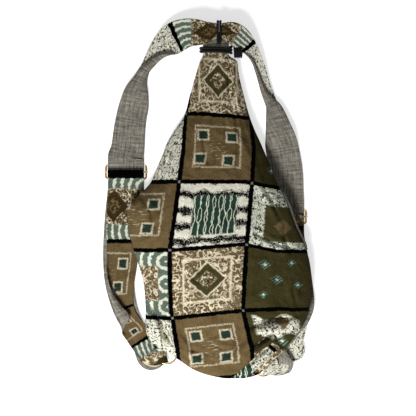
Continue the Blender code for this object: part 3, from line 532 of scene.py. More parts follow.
def printedCotton(name, strip=False):                   # the patchwork print: one design in each cell, bars between
    board = nodeBoard(name, 0.88)
    place = board.uv("print")
    weave = board.uv("weave")
    rough = board.add("TexNoise", (("Vector", place), ("Scale", 17.0), ("Detail", 3.0), ("Roughness", 0.65)))
    shift = board.add("SeparateColor", ((0, rough.outputs["Color"]),))
    flat = board.add("SeparateXYZ", ((0, place),))
    u, v = [
        board.sum("ADD", flat.outputs[k], board.times(board.sum("SUBTRACT", shift.outputs[k], 0.5), 0.045))
        for k in (0, 1)
    ]
    x, y = board.sum("FRACT", u), board.sum("FRACT", v)
    design = board.add("Attribute", attribute_name="design", attribute_type="GEOMETRY").outputs["Fac"]
    layers = patchDesigns(board, place, x, y)
    colour = layers[0]
    for number, layer in enumerate(layers[1:], 1):
        colour = board.mix(board.span(design, number - 0.6, number - 0.4), colour, layer)
    away = [board.sum("ABSOLUTE", board.sum("SUBTRACT", k, board.sum("ROUND", k))) for k in (u, v)]
    bar = board.span(board.sum("MINIMUM", *away), 0.026, 0.036, 1.0, 0.0)
    colour = board.mix(bar, colour, printTones["black"])
    crossing = board.span(board.sum("MAXIMUM", *away), 0.013, 0.022, 1.0, 0.0)
    colour = board.mix(crossing, colour, printTones["dot"])
    if strip:
        colour = stripColour(board, weave, colour, layers)
    faded = board.span(board.noise(weave, 260.0, 3.0, 0.7), 0.3, 0.8, 0.88, 1.12)
    slubs = [board.span(board.noise(board.stretched(weave, *s), 1.0, 2.0), 0.3, 0.7, 0.90, 1.10) for s in ((900.0, 60.0), (60.0, 900.0))]
    tint = board.add("HueSaturation", (("Color", colour), ("Value", board.times(faded, *slubs))))
    board.put(board.shader.inputs["Base Color"], tint.outputs[0])
    soft = board.bump(creased(board, weave), 0.004, 0.8)
    board.put(board.shader.inputs["Normal"], board.bump(weaveHeight(board, weave, 1250.0), 0.0002, 0.6, soft))
    board.shader.inputs["Specular IOR Level"].default_value = 0.02
    return board.material


def chambrayCloth(name, pale, dark):                    # plain weave of a pale and a dark yarn, with slubs
    board = nodeBoard(name, 0.9)
    weave = board.uv("weave")
    streaks = [
        board.noise(board.stretched(weave, *s), 1.0, 3.0, 0.6)
        for s in ((420.0, 26.0), (26.0, 420.0), (1500.0, 70.0), (70.0, 1500.0))
    ]
    yarn = board.sum("ADD", board.times(streaks[0], 0.30), board.times(streaks[1], 0.30))
    yarn = board.sum("ADD", yarn, board.sum("ADD", board.times(streaks[2], 0.2), board.times(streaks[3], 0.2)))
    colour = board.mix(board.span(yarn, 0.40, 0.60), tone(*dark), tone(*pale))
    worn = board.span(board.noise(weave, 24.0, 4.0, 0.6), 0.3, 0.7, 0.88, 1.10)
    tint = board.add("HueSaturation", (("Color", colour), ("Value", board.times(worn, 0.93))))
    board.put(board.shader.inputs["Base Color"], tint.outputs[0])
    soft = board.bump(creased(board, weave), 0.004, 0.8)
    board.put(board.shader.inputs["Normal"], board.bump(weaveHeight(board, weave, 1100.0), 0.00025, 0.7, soft))
    board.shader.inputs["Specular IOR Level"].default_value = 0.02
    return board.material


def brassWire(name):
    board = nodeBoard(name, 0.28, 1.0)
    place = board.add("TexCoord").outputs["Object"]
    worn = board.noise(place, 420.0, 3.0, 0.6)
    colour = board.mix(board.span(worn, 0.35, 0.7), tone(226, 190, 122), tone(196, 158, 96))
    board.put(board.shader.inputs["Base Color"], colour)
    board.put(board.shader.inputs["Roughness"], board.span(board.noise(place, 900.0, 2.0), 0.3, 0.7, 0.2, 0.38))
    board.put(board.shader.inputs["Normal"], board.bump(worn, 0.0001, 0.3))
    return board.material


def blackCord(name, strands):
    board = nodeBoard(name, 0.62)
    weave = board.uv("weave")
    split = board.add("SeparateXYZ", ((0, weave),))
    lean = board.sum("ADD", board.times(split.outputs[0], 2 * math.pi * strands), board.times(split.outputs[1], 2600.0))
    back = board.sum("SUBTRACT", board.times(split.outputs[0], 2 * math.pi * strands), board.times(split.outputs[1], 2600.0))
    braid = board.sum("MAXIMUM", board.sum("SINE", lean), board.sum("SINE", back))
    fuzz = board.noise(board.stretched(weave, 30.0, 4000.0), 1.0, 2.0)
    colour = board.mix(board.span(board.sum("ADD", board.times(braid, 0.3), fuzz), 0.3, 1.0), tone(4, 4, 5), tone(26, 26, 28))
    board.put(board.shader.inputs["Base Color"], colour)
    board.put(board.shader.inputs["Normal"], board.bump(braid, 0.0004, 0.8))
    board.shader.inputs["Specular IOR Level"].default_value = 0.2
    return board.material


patchwork = printedCotton("patchworkPrint")
frontPrint = printedCotton("frontPrint", strip=True)
greyCloth = chambrayCloth("greyChambray", (174, 168, 155), (70, 66, 60))
goldWire = brassWire("goldWire")
roundCord = blackCord("blackCord", 4)
print("materials made")


# ---- the pouch ----

profile = through(outlineRows, 8)[::-1]


def profileAt(y):
    return [np.interp(y, profile[:, 0], profile[:, k]) for k in range(1, 5)]


def neckness(y):
    return smooth((y - 120) / (neck["y"] - 120))


def acrossShare(x, y, inset=0.0):
    left, right = profileAt(y)[:2]
    return np.minimum(1.0, np.abs(x - (left + right) / 2) / ((right - left) / 2 - inset))


def domeAt(x, y, inset=0.0):
    return np.maximum(0.0, 1 - acrossShare(x, y, inset) ** 2.3) ** (0.62 - 0.12 * neckness(y))


def underHeight(x, y):
    seam = profileAt(y)[2]
    u = acrossShare(x, y)
    span = 1 - pouch["flatShare"]
    side = smooth((u - 1 + span) / span)
    end = smooth((outlineRows[-1][0] + pouch["endSpan"] - y) / pouch["endSpan"])
    flat = (seam - pouch["cloth"] / 2) * (1 - (1 - side) * (1 - end))
    tied = seam - pouch["seamGap"] - (pouch["neckRise"] - pouch["seamGap"]) * np.sqrt(np.maximum(0.0, 1 - u * u))
    share = neckness(y)
    return pouch["cloth"] / 2 + 0.15 + (flat - pouch["seamGap"] * side) * (1 - share) + (tied - pouch["cloth"] / 2) * share


def foldHeight(x, y):
    total = 0.0
    sway = 5.0 * rumple(x, y, 60, 8)
    for fx, fy, heading, length, left, right, height in folds:
        turn = math.radians(heading)
        dx, dy = x - fx, y - fy
        along = dx * math.cos(turn) + dy * math.sin(turn)
        across = dy * math.cos(turn) - dx * math.sin(turn) + sway
        width = np.where(across > 0, left, right)
        total = total + height * np.exp(-(along / length * 2) ** 2 - np.abs(across / width) ** 1.7)
    return total


def creaseDepth(x, y):
    total = 0.0
    x = x + 2.0 * rumple(x, y, 30, 11)
    for depth, width, *points in creaseLines:
        away, reach = np.full(np.shape(x), 1e9), np.zeros(np.shape(x))
        count = len(points) - 1
        for i, ((ax, ay), (bx, by)) in enumerate(zip(points, points[1:])):
            run = np.array((bx - ax, by - ay), float)
            share = np.clip(((x - ax) * run[0] + (y - ay) * run[1]) / (run @ run), 0, 1)
            gone = np.hypot(x - ax - share * run[0], y - ay - share * run[1])
            reach = np.where(gone < away, (i + share) / count, reach)
            away = np.minimum(away, gone)
        fade = np.sin(math.pi * (0.12 + 0.76 * reach)) ** 0.7
        total = total + fade * depth * (0.35 * np.exp(-((away - 2.3 * width) / width / 1.3) ** 2) - np.exp(-(away / width) ** 2))
    return total


def overHeight(x, y):
    left, right, seam, crown = profileAt(y)
    u = acrossShare(x, y)
    dome = domeAt(x, y)
    z = seam + pouch["seamGap"] + (crown - pouch["seamGap"]) * dome
    gather = np.sin(math.pi * u) * smooth((y - 60) / 120) * smooth((236 - y) / 24)
    share = (x - left) / (right - left)
    bend = share + 0.03 * rumple(x * 0, y, 90, 3)
    fan = np.cos(pouch["gathers"] * math.pi * bend) + 0.6 * np.cos(2.7 * pouch["gathers"] * math.pi * bend + 1.3)
    z = z + pouch["gatherHeight"] * fan * gather
    pleat = np.exp(-((share - 0.13) / 0.05) ** 2) * smooth((y - 110) / 60) * smooth((250 - y) / 20)
    z = z + pouch["pleatHeight"] * pleat
    z = z + (foldHeight(x, y) + creaseDepth(x, y)) * np.minimum(1.0, dome * 1.5)
    gathered = smooth((-130 - y) / 60)                  # tighter creases towards the bottom seam
    creases = rumple(x, y, 32, 1) * (0.5 + 0.8 * gathered) + rumple(x, y, 90, 2) * pouch["slack"]
    creases = creases + 0.8 * pinched(rumple(x, y, 46, 4)) + (0.4 + 0.6 * gathered) * pinched(rumple(x, y, 27, 5))
    return z + creases * np.minimum(1.0, dome * 1.6) * (1 - neckness(y))


def pouchGrid(height, columns, step, inset=0.0, bottom=None):
    start, stop = outlineRows[0][0], outlineRows[-1][0] if bottom is None else bottom
    levels = np.linspace(start, stop, int((start - stop) / step) + 1)
    left, right = profileAt(levels)[:2]
    turns = np.linspace(-1, 1, columns + 1)
    shares = 0.55 * turns + 0.45 * np.sin(turns * math.pi / 2)
    x = (left + right)[:, None] / 2 + ((right - left) / 2 - inset)[:, None] * shares
    y = np.repeat(levels[:, None], columns + 1, axis=1)
    return np.stack([x, y, height(x, y)], axis=2)


def printPlace(x, y):                                   # the print's cell coordinates on the front
    bars = np.array(uprightBars, float)[::-1]
    first, second = np.interp(y, bars[:, 0], bars[:, 1]), np.interp(y, bars[:, 0], bars[:, 2])
    u = (x - first) / (second - first)
    bars = np.array(levelBars, float)
    levels = [np.interp(x, bars[:, 0], bars[:, k]) for k in range(1, bars.shape[1])]
    levels = [levels[0] + 2 * cellSize, levels[0] + cellSize, *levels, levels[-1] - cellSize, levels[-1] - 2 * cellSize]
    v = -1.0
    for high, low in zip(levels, levels[1:]):
        v = v + np.clip((high - y) / (high - low), 0, 1)
    return np.stack([u, v], axis=-1)


frontDesigns = {
    (0, -1): 0, (0, 0): 0, (0, 1): 0, (1, -1): 3, (1, 0): 1, (1, 1): 4, (2, -1): 1, (2, 0): 2, (2, 1): 5,
    (3, -1): 6, (3, 0): 0, (3, 1): 4, (4, -1): 3, (4, 0): 1, (4, 1): 7,
}


def cellDesigns(place, table):
    middle = (place[:-1, :-1] + place[1:, 1:]) / 2
    rows, cols = np.floor(middle[..., 1]).astype(int), np.floor(middle[..., 0]).astype(int)
    pick = np.vectorize(lambda r, c: table.get((r, c), (r * 5 + c * 3) % 8))
    return pick(rows, cols)


def backPlace(x, y):
    return np.stack([(x + 30) / cellSize, (250 - y) / cellSize], axis=-1)


def makePouch():
    front = pouchGrid(overHeight, pouch["columns"], pouch["rowStep"])
    front = front[:, ::-1][::-1]
    place = printPlace(front[..., 0], front[..., 1])
    flat = front[..., :2] * mm
    made = {}
    made["frontPanel"] = clothShell("frontPanel", front, pouch["cloth"], frontPrint, place, flat, cellDesigns(place, frontDesigns))
    back = pouchGrid(underHeight, 72, 4.0)[:, ::-1]
    place = backPlace(back[..., 0], back[..., 1])
    made["backPanel"] = clothShell("backPanel", back, pouch["cloth"], patchwork, place, back[..., :2] * mm, cellDesigns(place, {}))
    inner = outlineRows[-4][0]

    def liningHeight(x, y):
        seam, crown = profileAt(y)[2:]
        inner = seam + pouch["seamGap"] + (crown - pouch["seamGap"] - pouch["liningDrop"]) * domeAt(x, y, pouch["liningInset"])
        return np.minimum(inner, overHeight(x, y) - pouch["liningDrop"])

    def liningUnder(x, y):
        return np.minimum(underHeight(x, y) + pouch["liningDrop"], profileAt(y)[2] - 0.3)

    grid = pouchGrid(liningHeight, 60, 6.0, pouch["liningInset"], inner)
    made["frontLining"] = clothShell("frontLining", grid[::-1, ::-1], pouch["lining"], greyCloth, None, grid[::-1, ::-1, :2] * mm)
    grid = pouchGrid(liningUnder, 60, 6.0, pouch["liningInset"], inner)
    made["backLining"] = clothShell("backLining", grid, pouch["lining"], greyCloth, None, grid[..., :2] * mm)
    return made


pieces = makePouch()
print("pouch made")

# ---- mouth, edge and cords ----

hemShape = {"rows": 22, "columns": 180, "folds": 9, "foldDepth": 1.5}


def makeHem():
    grid = []
    for share in np.linspace(0, 1, hemShape["rows"]):
        y = neck["y"] + pouch["cloth"] + share * neck["hemLength"]
        turn = np.linspace(0, 2 * math.pi, hemShape["columns"], endpoint=False)
        ruffle = hemShape["foldDepth"] * share * (np.cos(hemShape["folds"] * turn + 0.8) + 0.5 * np.cos(17 * turn))
        half = neck["half"] + neck["hemFlare"] * smooth(share) + 0.5 * ruffle
        rise = pouch["neckRise"] + neck["hemWave"] * share * np.cos(7 * turn) + 0.15 * ruffle
        tip = y + share * 1.6 * np.sin(5 * turn + 1.0)
        grid.append(np.stack([neck["x"] + half * np.cos(turn), tip, neck["z"] + rise * np.sin(turn)], 1))
    grid = np.array(grid)
    turn = np.linspace(0, 1, hemShape["columns"], endpoint=False)
    weave = np.stack(np.meshgrid(turn * 0.12, np.linspace(0, neck["hemLength"] * mm, hemShape["rows"])), axis=-1)
    return clothShell("mouthHem", grid, pouch["cloth"], greyCloth, None, weave, closed=True)


binding = {"radius": 2.1, "from": 12.0, "to": -84.0}


def makeBinding():
    y = np.linspace(binding["from"], binding["to"], 90)
    _, right, seam, _ = profileAt(y)
    reach = binding["radius"] + pouch["cloth"]
    path = np.stack([right + reach, y, seam + 0.2 * np.sin(y / 5.0)], 1)
    ends = smooth((y - binding["to"]) / 10) * smooth((binding["from"] - y) / 10)
    radius = binding["radius"] * (0.35 + 0.65 * ends) * (1 + 0.06 * np.sin(y * 1.1))
    return roundTube("edgeBinding", path, radius, greyCloth, sides=16)


def makeNeckCord():
    wide = neck["half"] + pouch["cloth"] + 0.9 + cords["neck"]
    tall = pouch["neckRise"] + pouch["cloth"] + 0.9 + cords["neck"]
    pitch = 2 * cords["neck"] + 0.3
    start = neck["y"] - pouch["cloth"] - cords["neck"] - cords["neckTurns"] * pitch
    turn = np.linspace(0, 2 * math.pi * cords["neckTurns"], 96 * cords["neckTurns"])
    path = np.stack([neck["x"] + wide * np.cos(turn), start + pitch * turn / (2 * math.pi), neck["z"] + tall * np.sin(turn)], 1)
    return roundTube("neckCord", path, cords["neck"], roundCord, sides=20)


def makeKnot():
    start = neck["x"] + neck["half"] + pouch["cloth"] + 1.2 + 2 * cords["neck"] + cords["knot"]
    pitch = 2 * cords["knot"] + 0.3
    middle = neck["y"] - pouch["cloth"] - cords["neck"] - cords["neckTurns"] * (2 * cords["neck"] + 0.3) / 2 - cords["knotDrop"]
    turn = np.linspace(0, 2 * math.pi * cords["knotTurns"], 40 * cords["knotTurns"])
    path = np.stack([
        start + pitch * turn / (2 * math.pi), middle + cords["knotRadius"] * np.cos(turn),
        neck["z"] + cords["knotRadius"] * np.sin(turn),
    ], 1)
    return roundTube("cordKnot", path, cords["knot"], roundCord, sides=14)


def makeLashing():
    far = strap["knotY"] + strap["knotShare"] * strap["width"] / 2 + 0.75 + cords["lashing"]
    low, high = lashLow, knotLift + band + 0.3 + cords["lashing"]
    middle, halfTall = (low + high) / 2, (high - low) / 2
    straight = cords["lashingLength"] / 2 - halfTall
    centre = far - cords["lashingLength"] / 2
    loops = []
    for x in (strap["knotX"] - cords["lashing"] - 0.1, strap["knotX"] + cords["lashing"] + 0.1):
        path = []
        for side in (1, -1):
            for turn in np.linspace(math.pi / 2, -math.pi / 2, 15) * side:
                path.append((x, centre + side * (straight + halfTall * math.cos(turn)), middle + halfTall * math.sin(turn)))
            for share in np.linspace(0.08, 0.92, 12):
                path.append((x, centre + side * straight * (1 - 2 * share), middle - side * halfTall))
        loops.append(roundTube("loop", path, cords["lashing"], roundCord, sides=16, closed=True))
    return joinAll("strapLashing", loops)


pieces["mouthHem"] = makeHem()
pieces["edgeBinding"] = makeBinding()
pieces["neckCord"] = makeNeckCord()
pieces["cordKnot"] = makeKnot()
pieces["strapLashing"] = makeLashing()
print("mouth, binding and cords made")


# ---- the straps ----

def stationsOf(rows):                                   # place, across, up, width, hug of the ring, share turned over
    rows = np.asarray(rows, float)
    rise = floorGap + np.maximum(0.0, rows[:, 2]) + band / 2
    places = np.stack([rows[:, 0], rows[:, 1], rise], 1)
    runs = np.diff(places, axis=0)
    runs /= np.linalg.norm(runs, axis=1)[:, None]
    tangents = np.vstack([runs[:1], runs[:-1] + runs[1:], runs[-1:]])
    tangents /= np.linalg.norm(tangents, axis=1)[:, None]
    left = np.cross((0, 0, 1), tangents)
    left /= np.linalg.norm(left, axis=1)[:, None]
    return [(p, a, np.cross(t, a), w, 0.0, f) for p, a, t, w, f in zip(places, left, tangents, rows[:, 3], rows[:, 4] / 180)]


def ringTurnStations(side, steps=16):
    angle = math.radians(side["strapAt"])
    inward = -np.array((math.cos(angle), math.sin(angle), 0.0))
    wire = np.array((*side["ring"], floorGap + band / 2 + ringTurn)) - wireRing["radius"] * inward
    across = -np.cross((0, 0, 1), inward)
    stations = []
    for turn in np.linspace(-math.pi / 2, math.pi / 2, steps + 1):
        reach = ringTurn + wireRing["fill"]
        place = wire + reach * inward * math.cos(turn) + np.array((0, 0, ringTurn * math.sin(turn)))
        heading = -reach * inward * math.sin(turn) + np.array((0, 0, ringTurn * math.cos(turn)))
        heading /= np.linalg.norm(heading)
        stations.append((place, across, np.cross(heading, across), wireRing["strapPass"], 1.0 - 0.7 * math.cos(turn), 0.0))
    return stations, inward, wire


def strapStations(side):
    x, y = side["slider"]
    flat = slider["length"] / 2 + slider["travel"] + 4 * slider["bar"]
    full = 180 * side["turn"]
    width = strap["width"]
    turn, inward, wire = ringTurnStations(side)
    rows = [(strap["knotX"] - strap["knotSeam"] * side["turn"], strap["knotY"], knotLift, strap["knotShare"] * width, 0)]
    rows += [(a, b, c, share * width, roll) for a, b, c, share, roll in side["above"]]
    below = [(a, b, c, share * width, roll) for a, b, c, share, roll in side["below"]]
    upper = through(rows + [(x, y + flat, sliderLift, width, full)], 16)
    straight = [(x, y + flat - 2 * flat * t, sliderLift, width, full) for t in np.linspace(0, 1, 14)[1:-1]]
    end = wire - inward * 12
    pinch = wireRing["strapPass"]
    last = [(end[0], end[1] + side["drop"], 0.0, side["fan"][0] * pinch, full), (wire[0], wire[1], 0.0, pinch, full)]
    lower = through([(x, y - flat, sliderLift, width, full)] + below + last, 14)
    main = stationsOf(np.vstack([upper, straight, lower[:-1]]))
    step = band + 0.3
    tip = y - slider["under"] - slider["travel"] - 4
    rows = [(wire[0], wire[1], 2 * ringTurn, pinch, 0), (end[0], end[1], 1.6 * ringTurn, side["fan"][1] * pinch, 0)]
    rows += [(a, b, step + c, share * width, roll) for a, b, c, share, roll in side["return"][::-1]]
    rows.append((x, tip - 10, sliderLift + step - 0.3, width, 0))
    rows.append((x, tip, sliderLift + step, width, 0))
    back = stationsOf(through(rows, 14)[1:])
    centre = np.array((*side["ring"], 0.0))
    eased = []
    for place, across, lift, w, hug, fold in main + turn + back:
        away = math.hypot(*(place - centre)[:2]) - wireRing["radius"]
        eased.append((place, across, lift, w, hug or float(smooth(1 - away / 14)), fold))
    return eased, len(main), len(turn)


def bandGrid(stations, offset, side, slack=None):
    angle = math.radians(side["strapAt"])
    inward = -np.array((math.cos(angle), math.sin(angle), 0.0))
    radius = wireRing["radius"]
    shares = np.linspace(-1, 1, strap["columns"] + 1)
    step = shares[1] - shares[0]
    grid = []
    for place, across, lift, width, hug, fold in stations:
        crease = (1 + strap["bend"]) * (1 - 2 * abs(fold))
        sign = -1.0 if fold < 0 else 1.0
        middles = (shares[:-1] + shares[1:]) / 2
        bend = math.pi * smooth((middles * sign - crease) / strap["bend"] / 2 + 0.5)
        slope = math.pi * smooth((shares * sign - crease) / strap["bend"] / 2 + 0.5) * sign
        run = np.cumsum(np.stack([np.cos(bend), np.sin(bend)], 1), axis=0) * step * width / 2
        run = np.vstack([[0, 0], run])
        if sign < 0:
            turned = np.cumsum(np.stack([-np.cos(bend), np.sin(bend)], 1)[::-1], axis=0)[::-1] * step * width / 2
            run = np.vstack([turned, [0, 0]])
        over = np.clip((shares * sign - crease) / max(0.3, 1 - crease), 0, 1)
        run[:, 1] += strap["puff"] * 4 * abs(fold) * (1 - abs(fold)) * np.sin(math.pi * over)
        run[:, 0] -= (run[:, 0].min() + run[:, 0].max()) / 2
        a = run[:, 0]
        sag = radius - np.sqrt(radius ** 2 - np.minimum(a * a, 0.8 * radius ** 2))
        facing = np.cos(slope)[:, None] * lift - np.sin(slope)[:, None] * across
        grid.append(place + a[:, None] * across + run[:, 1:] * lift + facing * offset + (sag * hug)[:, None] * inward)
    grid = np.array(grid)
    if slack is not None:
        grid[..., 2] += slack(grid, shares)
    grid[..., 2] = np.maximum(grid[..., 2], floorGap + strap["cloth"] / 2)
    return grid


def tailPlace(side, below):                             # the print along the return, at a distance below the slider
    first, *steps = side["tailBars"]
    marks = side["slider"][1] - first + np.concatenate([[-cellSize, 0], np.cumsum(steps)])
    return np.interp(below, marks, 19.0 + np.arange(len(marks)))


stitch = {"pitch": 4.6, "length": 2.9, "thickness": 0.55, "inset": 1, "seed": 5}


def stitchTree():
    tree = bpy.data.node_groups.new("stitchRow", "GeometryNodeTree")
    sockets = tree.interface
    sockets.new_socket("Geometry", in_out="INPUT", socket_type="NodeSocketGeometry")
    for name in ("Pitch", "Length", "Thickness"):
        sockets.new_socket(name, in_out="INPUT", socket_type="NodeSocketFloat")
    sockets.new_socket("Seed", in_out="INPUT", socket_type="NodeSocketInt")
    sockets.new_socket("Thread", in_out="INPUT", socket_type="NodeSocketMaterial")
    sockets.new_socket("Geometry", in_out="OUTPUT", socket_type="NodeSocketGeometry")
    start = tree.nodes.new("NodeGroupInput")

    def node(kind, links, **settings):
        made = tree.nodes.new(kind)
        for key, value in settings.items():
            setattr(made, key, value)
        for key, source in links.items():
            if isinstance(source, bpy.types.NodeSocket):
                tree.links.new(source, made.inputs[key])
            else:
                made.inputs[key].default_value = source
        return made.outputs[0]

    line = node("GeometryNodeMeshToCurve", {"Mesh": start.outputs["Geometry"]})
    points = node("GeometryNodeResampleCurve", {"Curve": line, "Length": start.outputs["Pitch"]}, mode="LENGTH")
    jitter = tree.nodes.new("FunctionNodeRandomValue")
    jitter.data_type = "FLOAT"
    jitter.inputs[2].default_value = 0.86
    jitter.inputs[3].default_value = 1.08
    tree.links.new(start.outputs["Seed"], jitter.inputs["Seed"])
    length = node("ShaderNodeMath", {0: start.outputs["Length"], 1: jitter.outputs[1]}, operation="MULTIPLY")
    size = node("ShaderNodeCombineXYZ", {0: start.outputs["Thickness"], 1: start.outputs["Thickness"], 2: length})
    ball = node("GeometryNodeMeshUVSphere", {"Segments": 8, "Rings": 5, "Radius": 0.5})
    heading = node("FunctionNodeAlignRotationToVector", {"Vector": node("GeometryNodeInputTangent", {})}, axis="Z")
    placed = node("GeometryNodeInstanceOnPoints", {"Points": points, "Instance": ball, "Rotation": heading, "Scale": size})
    real = node("GeometryNodeRealizeInstances", {"Geometry": placed})
    done = node("GeometryNodeSetMaterial", {"Geometry": real, "Material": start.outputs["Thread"]})
    finish = tree.nodes.new("NodeGroupOutput")
    tree.links.new(done, finish.inputs[0])
    return tree


def threadFinish():
    board = nodeBoard("sewingThread", 0.8)
    twist = board.noise(board.stretched(board.add("TexCoord").outputs["Object"], 2400.0, 2400.0, 2400.0), 1.0, 2.0)
    board.put(board.shader.inputs["Base Color"], board.mix(twist, tone(58, 52, 42), tone(120, 112, 96)))
    board.put(board.shader.inputs["Normal"], board.bump(twist, 0.0001, 0.6))
    return board.material


stitchRow = stitchTree()
sewingThread = threadFinish()


def sewn(name, lines):                                  # stitches along lines given in mm
    points, edges = [], []
    for line in lines:
        edges += [(len(points) + i, len(points) + i + 1) for i in range(len(line) - 1)]
        points += (np.asarray(line) * mm).tolist()
    mesh = bpy.data.meshes.new(name + "Lines")
    mesh.from_pydata(points, edges, [])
    seam = bpy.data.objects.new(name, mesh)
    bpy.context.scene.collection.objects.link(seam)
    rows = seam.modifiers.new("stitches", "NODES")
    rows.node_group = stitchRow
    values = {"Pitch": stitch["pitch"] * mm, "Length": stitch["length"] * mm, "Thickness": stitch["thickness"] * mm, "Seed": stitch["seed"], "Thread": sewingThread}
    for item in stitchRow.interface.items_tree:
        if item.in_out == "INPUT" and item.name in values:
            rows[item.identifier] = values[item.name]
    bpy.context.view_layer.update()
    made = bpy.data.meshes.new_from_object(seam.evaluated_get(bpy.context.evaluated_depsgraph_get()))
    seam.modifiers.remove(rows)
    seam.data = made
    made.materials.clear()
    made.materials.append(sewingThread)
    made.shade_smooth()
    return seam


def makeStraps(key, side):
    stations, mains, turns = strapStations(side)
    places = np.array([s[0] for s in stations])
    widths = np.array([s[3] for s in stations])
    along = np.concatenate([[0], np.cumsum(np.linalg.norm(np.diff(places, axis=0), axis=1))])
    x, y = side["slider"]
    nearSlider = smooth((np.abs(places[:, 1] - y) - 42) / 16)
    nearRing = smooth((np.hypot(*(places[:, :2] - np.array(side["ring"])).T) - 22) / 20)
    nearKnot = smooth((along - 12) / 25)
    free = nearSlider * nearRing * nearKnot
    tilt = np.abs(np.array([s[2][2] for s in stations]))

    def slack(grid, shares):                            # the same lift for every layer, so that none meets another
        lift = 1.0 + rumple(grid[..., 0], grid[..., 1], 55, 4) + 0.5 * rumple(grid[..., 0], grid[..., 1], 26, 5)
        curl = 1.6 * np.abs(shares) ** 5 * (1 + rumple(grid[..., 1], grid[..., 0], 70, 6))
        return np.maximum(0.0, 0.6 * lift + curl) * (free * tilt)[:, None]

    shift = (strap["cloth"] + 0.3) / 2
    shares = np.linspace(-1, 1, strap["columns"] + 1)
    weave = np.stack([shares[None, :] * widths[:, None] / 2 * mm, np.repeat(along[:, None], len(shares), 1) * mm], axis=-1)
    v = (along - side["firstBar"]) / cellSize + 1.0
    tail = np.arange(len(stations)) >= mains + turns // 2
    v[tail] = tailPlace(side, along[-1] - along[tail] + side["slider"][1] - places[-1, 1])
    u = np.where(tail, *side["printMiddle"][::-1])[:, None]
    u = u + np.where(tail, -1, 1)[:, None] * strap["width"] / 2 / cellSize * shares[None, :]
    patch = np.stack([u, np.repeat(v[:, None], len(shares), 1)], axis=-1)
    cells = np.floor((v[:-1] + v[1:]) / 2).astype(int)
    table = {i: d for i, d in enumerate(side["designs"])}
    table.update({19 + i: d for i, d in enumerate(side["tailDesigns"])})
    designs = np.repeat(np.array([table.get(c, (c * 5) % 8) for c in cells])[:, None], strap["columns"], 1)
    face = bandGrid(stations, shift, side, slack)
    lining = bandGrid(stations, -shift, side, slack)
    made = {}
    made[key + "StrapPrint"] = clothShell(key + "StrapPrint", face[:, ::-1], strap["cloth"], patchwork, patch[:, ::-1], weave[:, ::-1], designs)
    made[key + "StrapLining"] = clothShell(key + "StrapLining", lining, strap["cloth"], greyCloth, None, weave)
    clear = shift + strap["cloth"] / 2
    upper, under = bandGrid(stations, clear, side, slack), bandGrid(stations, -clear, side, slack)
    edge = stitch["inset"]
    made[key + "StrapStitches"] = sewn(key + "StrapStitches", [upper[:, edge], upper[:, -1 - edge], under[:, edge], under[:, -1 - edge]])
    made[key + "StrapEnd"], made[key + "EndStitches"] = makeFlap(key, side)
    made[key + "Slider"] = makeSlider(key, side)
    made[key + "Ring"] = makeRing(key, side)
    made[key + "RingTab"] = makeTab(key, side)
    return made, along[-1]


def makeFlap(key, side):                                # the strap's end, folded round the slider's middle bar
    x, y = side["slider"]
    turn = slider["bar"] + 0.3 + slider["endCloth"] / 2
    rest = floorGap + sliderLift + 2 * band + 0.6 + slider["endCloth"] / 2
    line = [(y - slider["under"] * (1 - t), centreBar - turn) for t in np.linspace(0, 1, 6)[:-1]]
    line += [(y + turn * math.cos(a), centreBar + turn * math.sin(a)) for a in np.linspace(-math.pi / 2, math.pi / 2, 15)]
    drop = centreBar + turn - rest
    for t in np.linspace(0, 1, 12)[1:]:
        line.append((y - t * slider["flap"] / 2, rest + drop * (1 - float(smooth(t)))))
    for t in np.linspace(0.5, 1, 10)[1:]:
        line.append((y - t * slider["flap"], rest))
    line = np.array(line)
    shares = np.linspace(-1, 1, 25)
    half = strap["width"] / 2 - 0.3
    grid = np.zeros((len(line), len(shares), 3))
    grid[..., 0] = x + shares[None, :] * half
    grid[..., 1] = line[:, :1]
    grid[..., 2] = line[:, 1:]
    tail = smooth((y - 4 - line[:, 0]) / 10)[:, None] * (line[:, 1:] > centreBar - turn + 0.1)
    grid[..., 2] += tail * 0.5 * (1 + rumple(grid[..., 0], grid[..., 1], 30, 7)) * (1 - 0.3 * np.abs(shares))
    along = np.concatenate([[0], np.cumsum(np.linalg.norm(np.diff(line, axis=0), axis=1))])
    weave = np.stack(np.meshgrid(shares * half * mm, along * mm), axis=-1)
    v = np.where(np.arange(len(line)) > 11, tailPlace(side, y - line[:, 0]), 0.0)
    v = np.maximum(v, side["flapTop"])
    u = side["printMiddle"][1] + strap["width"] / 2 / cellSize * shares
    patch = np.stack(np.meshgrid(u, v), axis=-1)
    designs = np.where(v[:-1] < 20, *side["tailDesigns"][:2])[:, None].repeat(len(shares) - 1, 1)
    flap = clothShell(key + "StrapEnd", grid[:, ::-1], slider["endCloth"], patchwork, patch[:, ::-1], weave[:, ::-1], designs)
    top = grid[-14:] + (0, 0, slider["endCloth"] / 2 + 0.1)
    return flap, sewn(key + "EndStitches", [top[:, 1], top[:, -2], top[-2, 1:-1], top[3, 1:-1]])


def roundedPath(corners, radius, steps=8):
    points = []
    for i, corner in enumerate(corners):
        corner = np.array(corner, float)
        before, after = np.array(corners[i - 1]) - corner, np.array(corners[(i + 1) % len(corners)]) - corner
        start = corner + before / np.linalg.norm(before) * radius
        end = corner + after / np.linalg.norm(after) * radius
        for t in np.linspace(0, 1, steps + 1):
            points.append((1 - t) ** 2 * start + 2 * t * (1 - t) * corner + t * t * end)
    return points


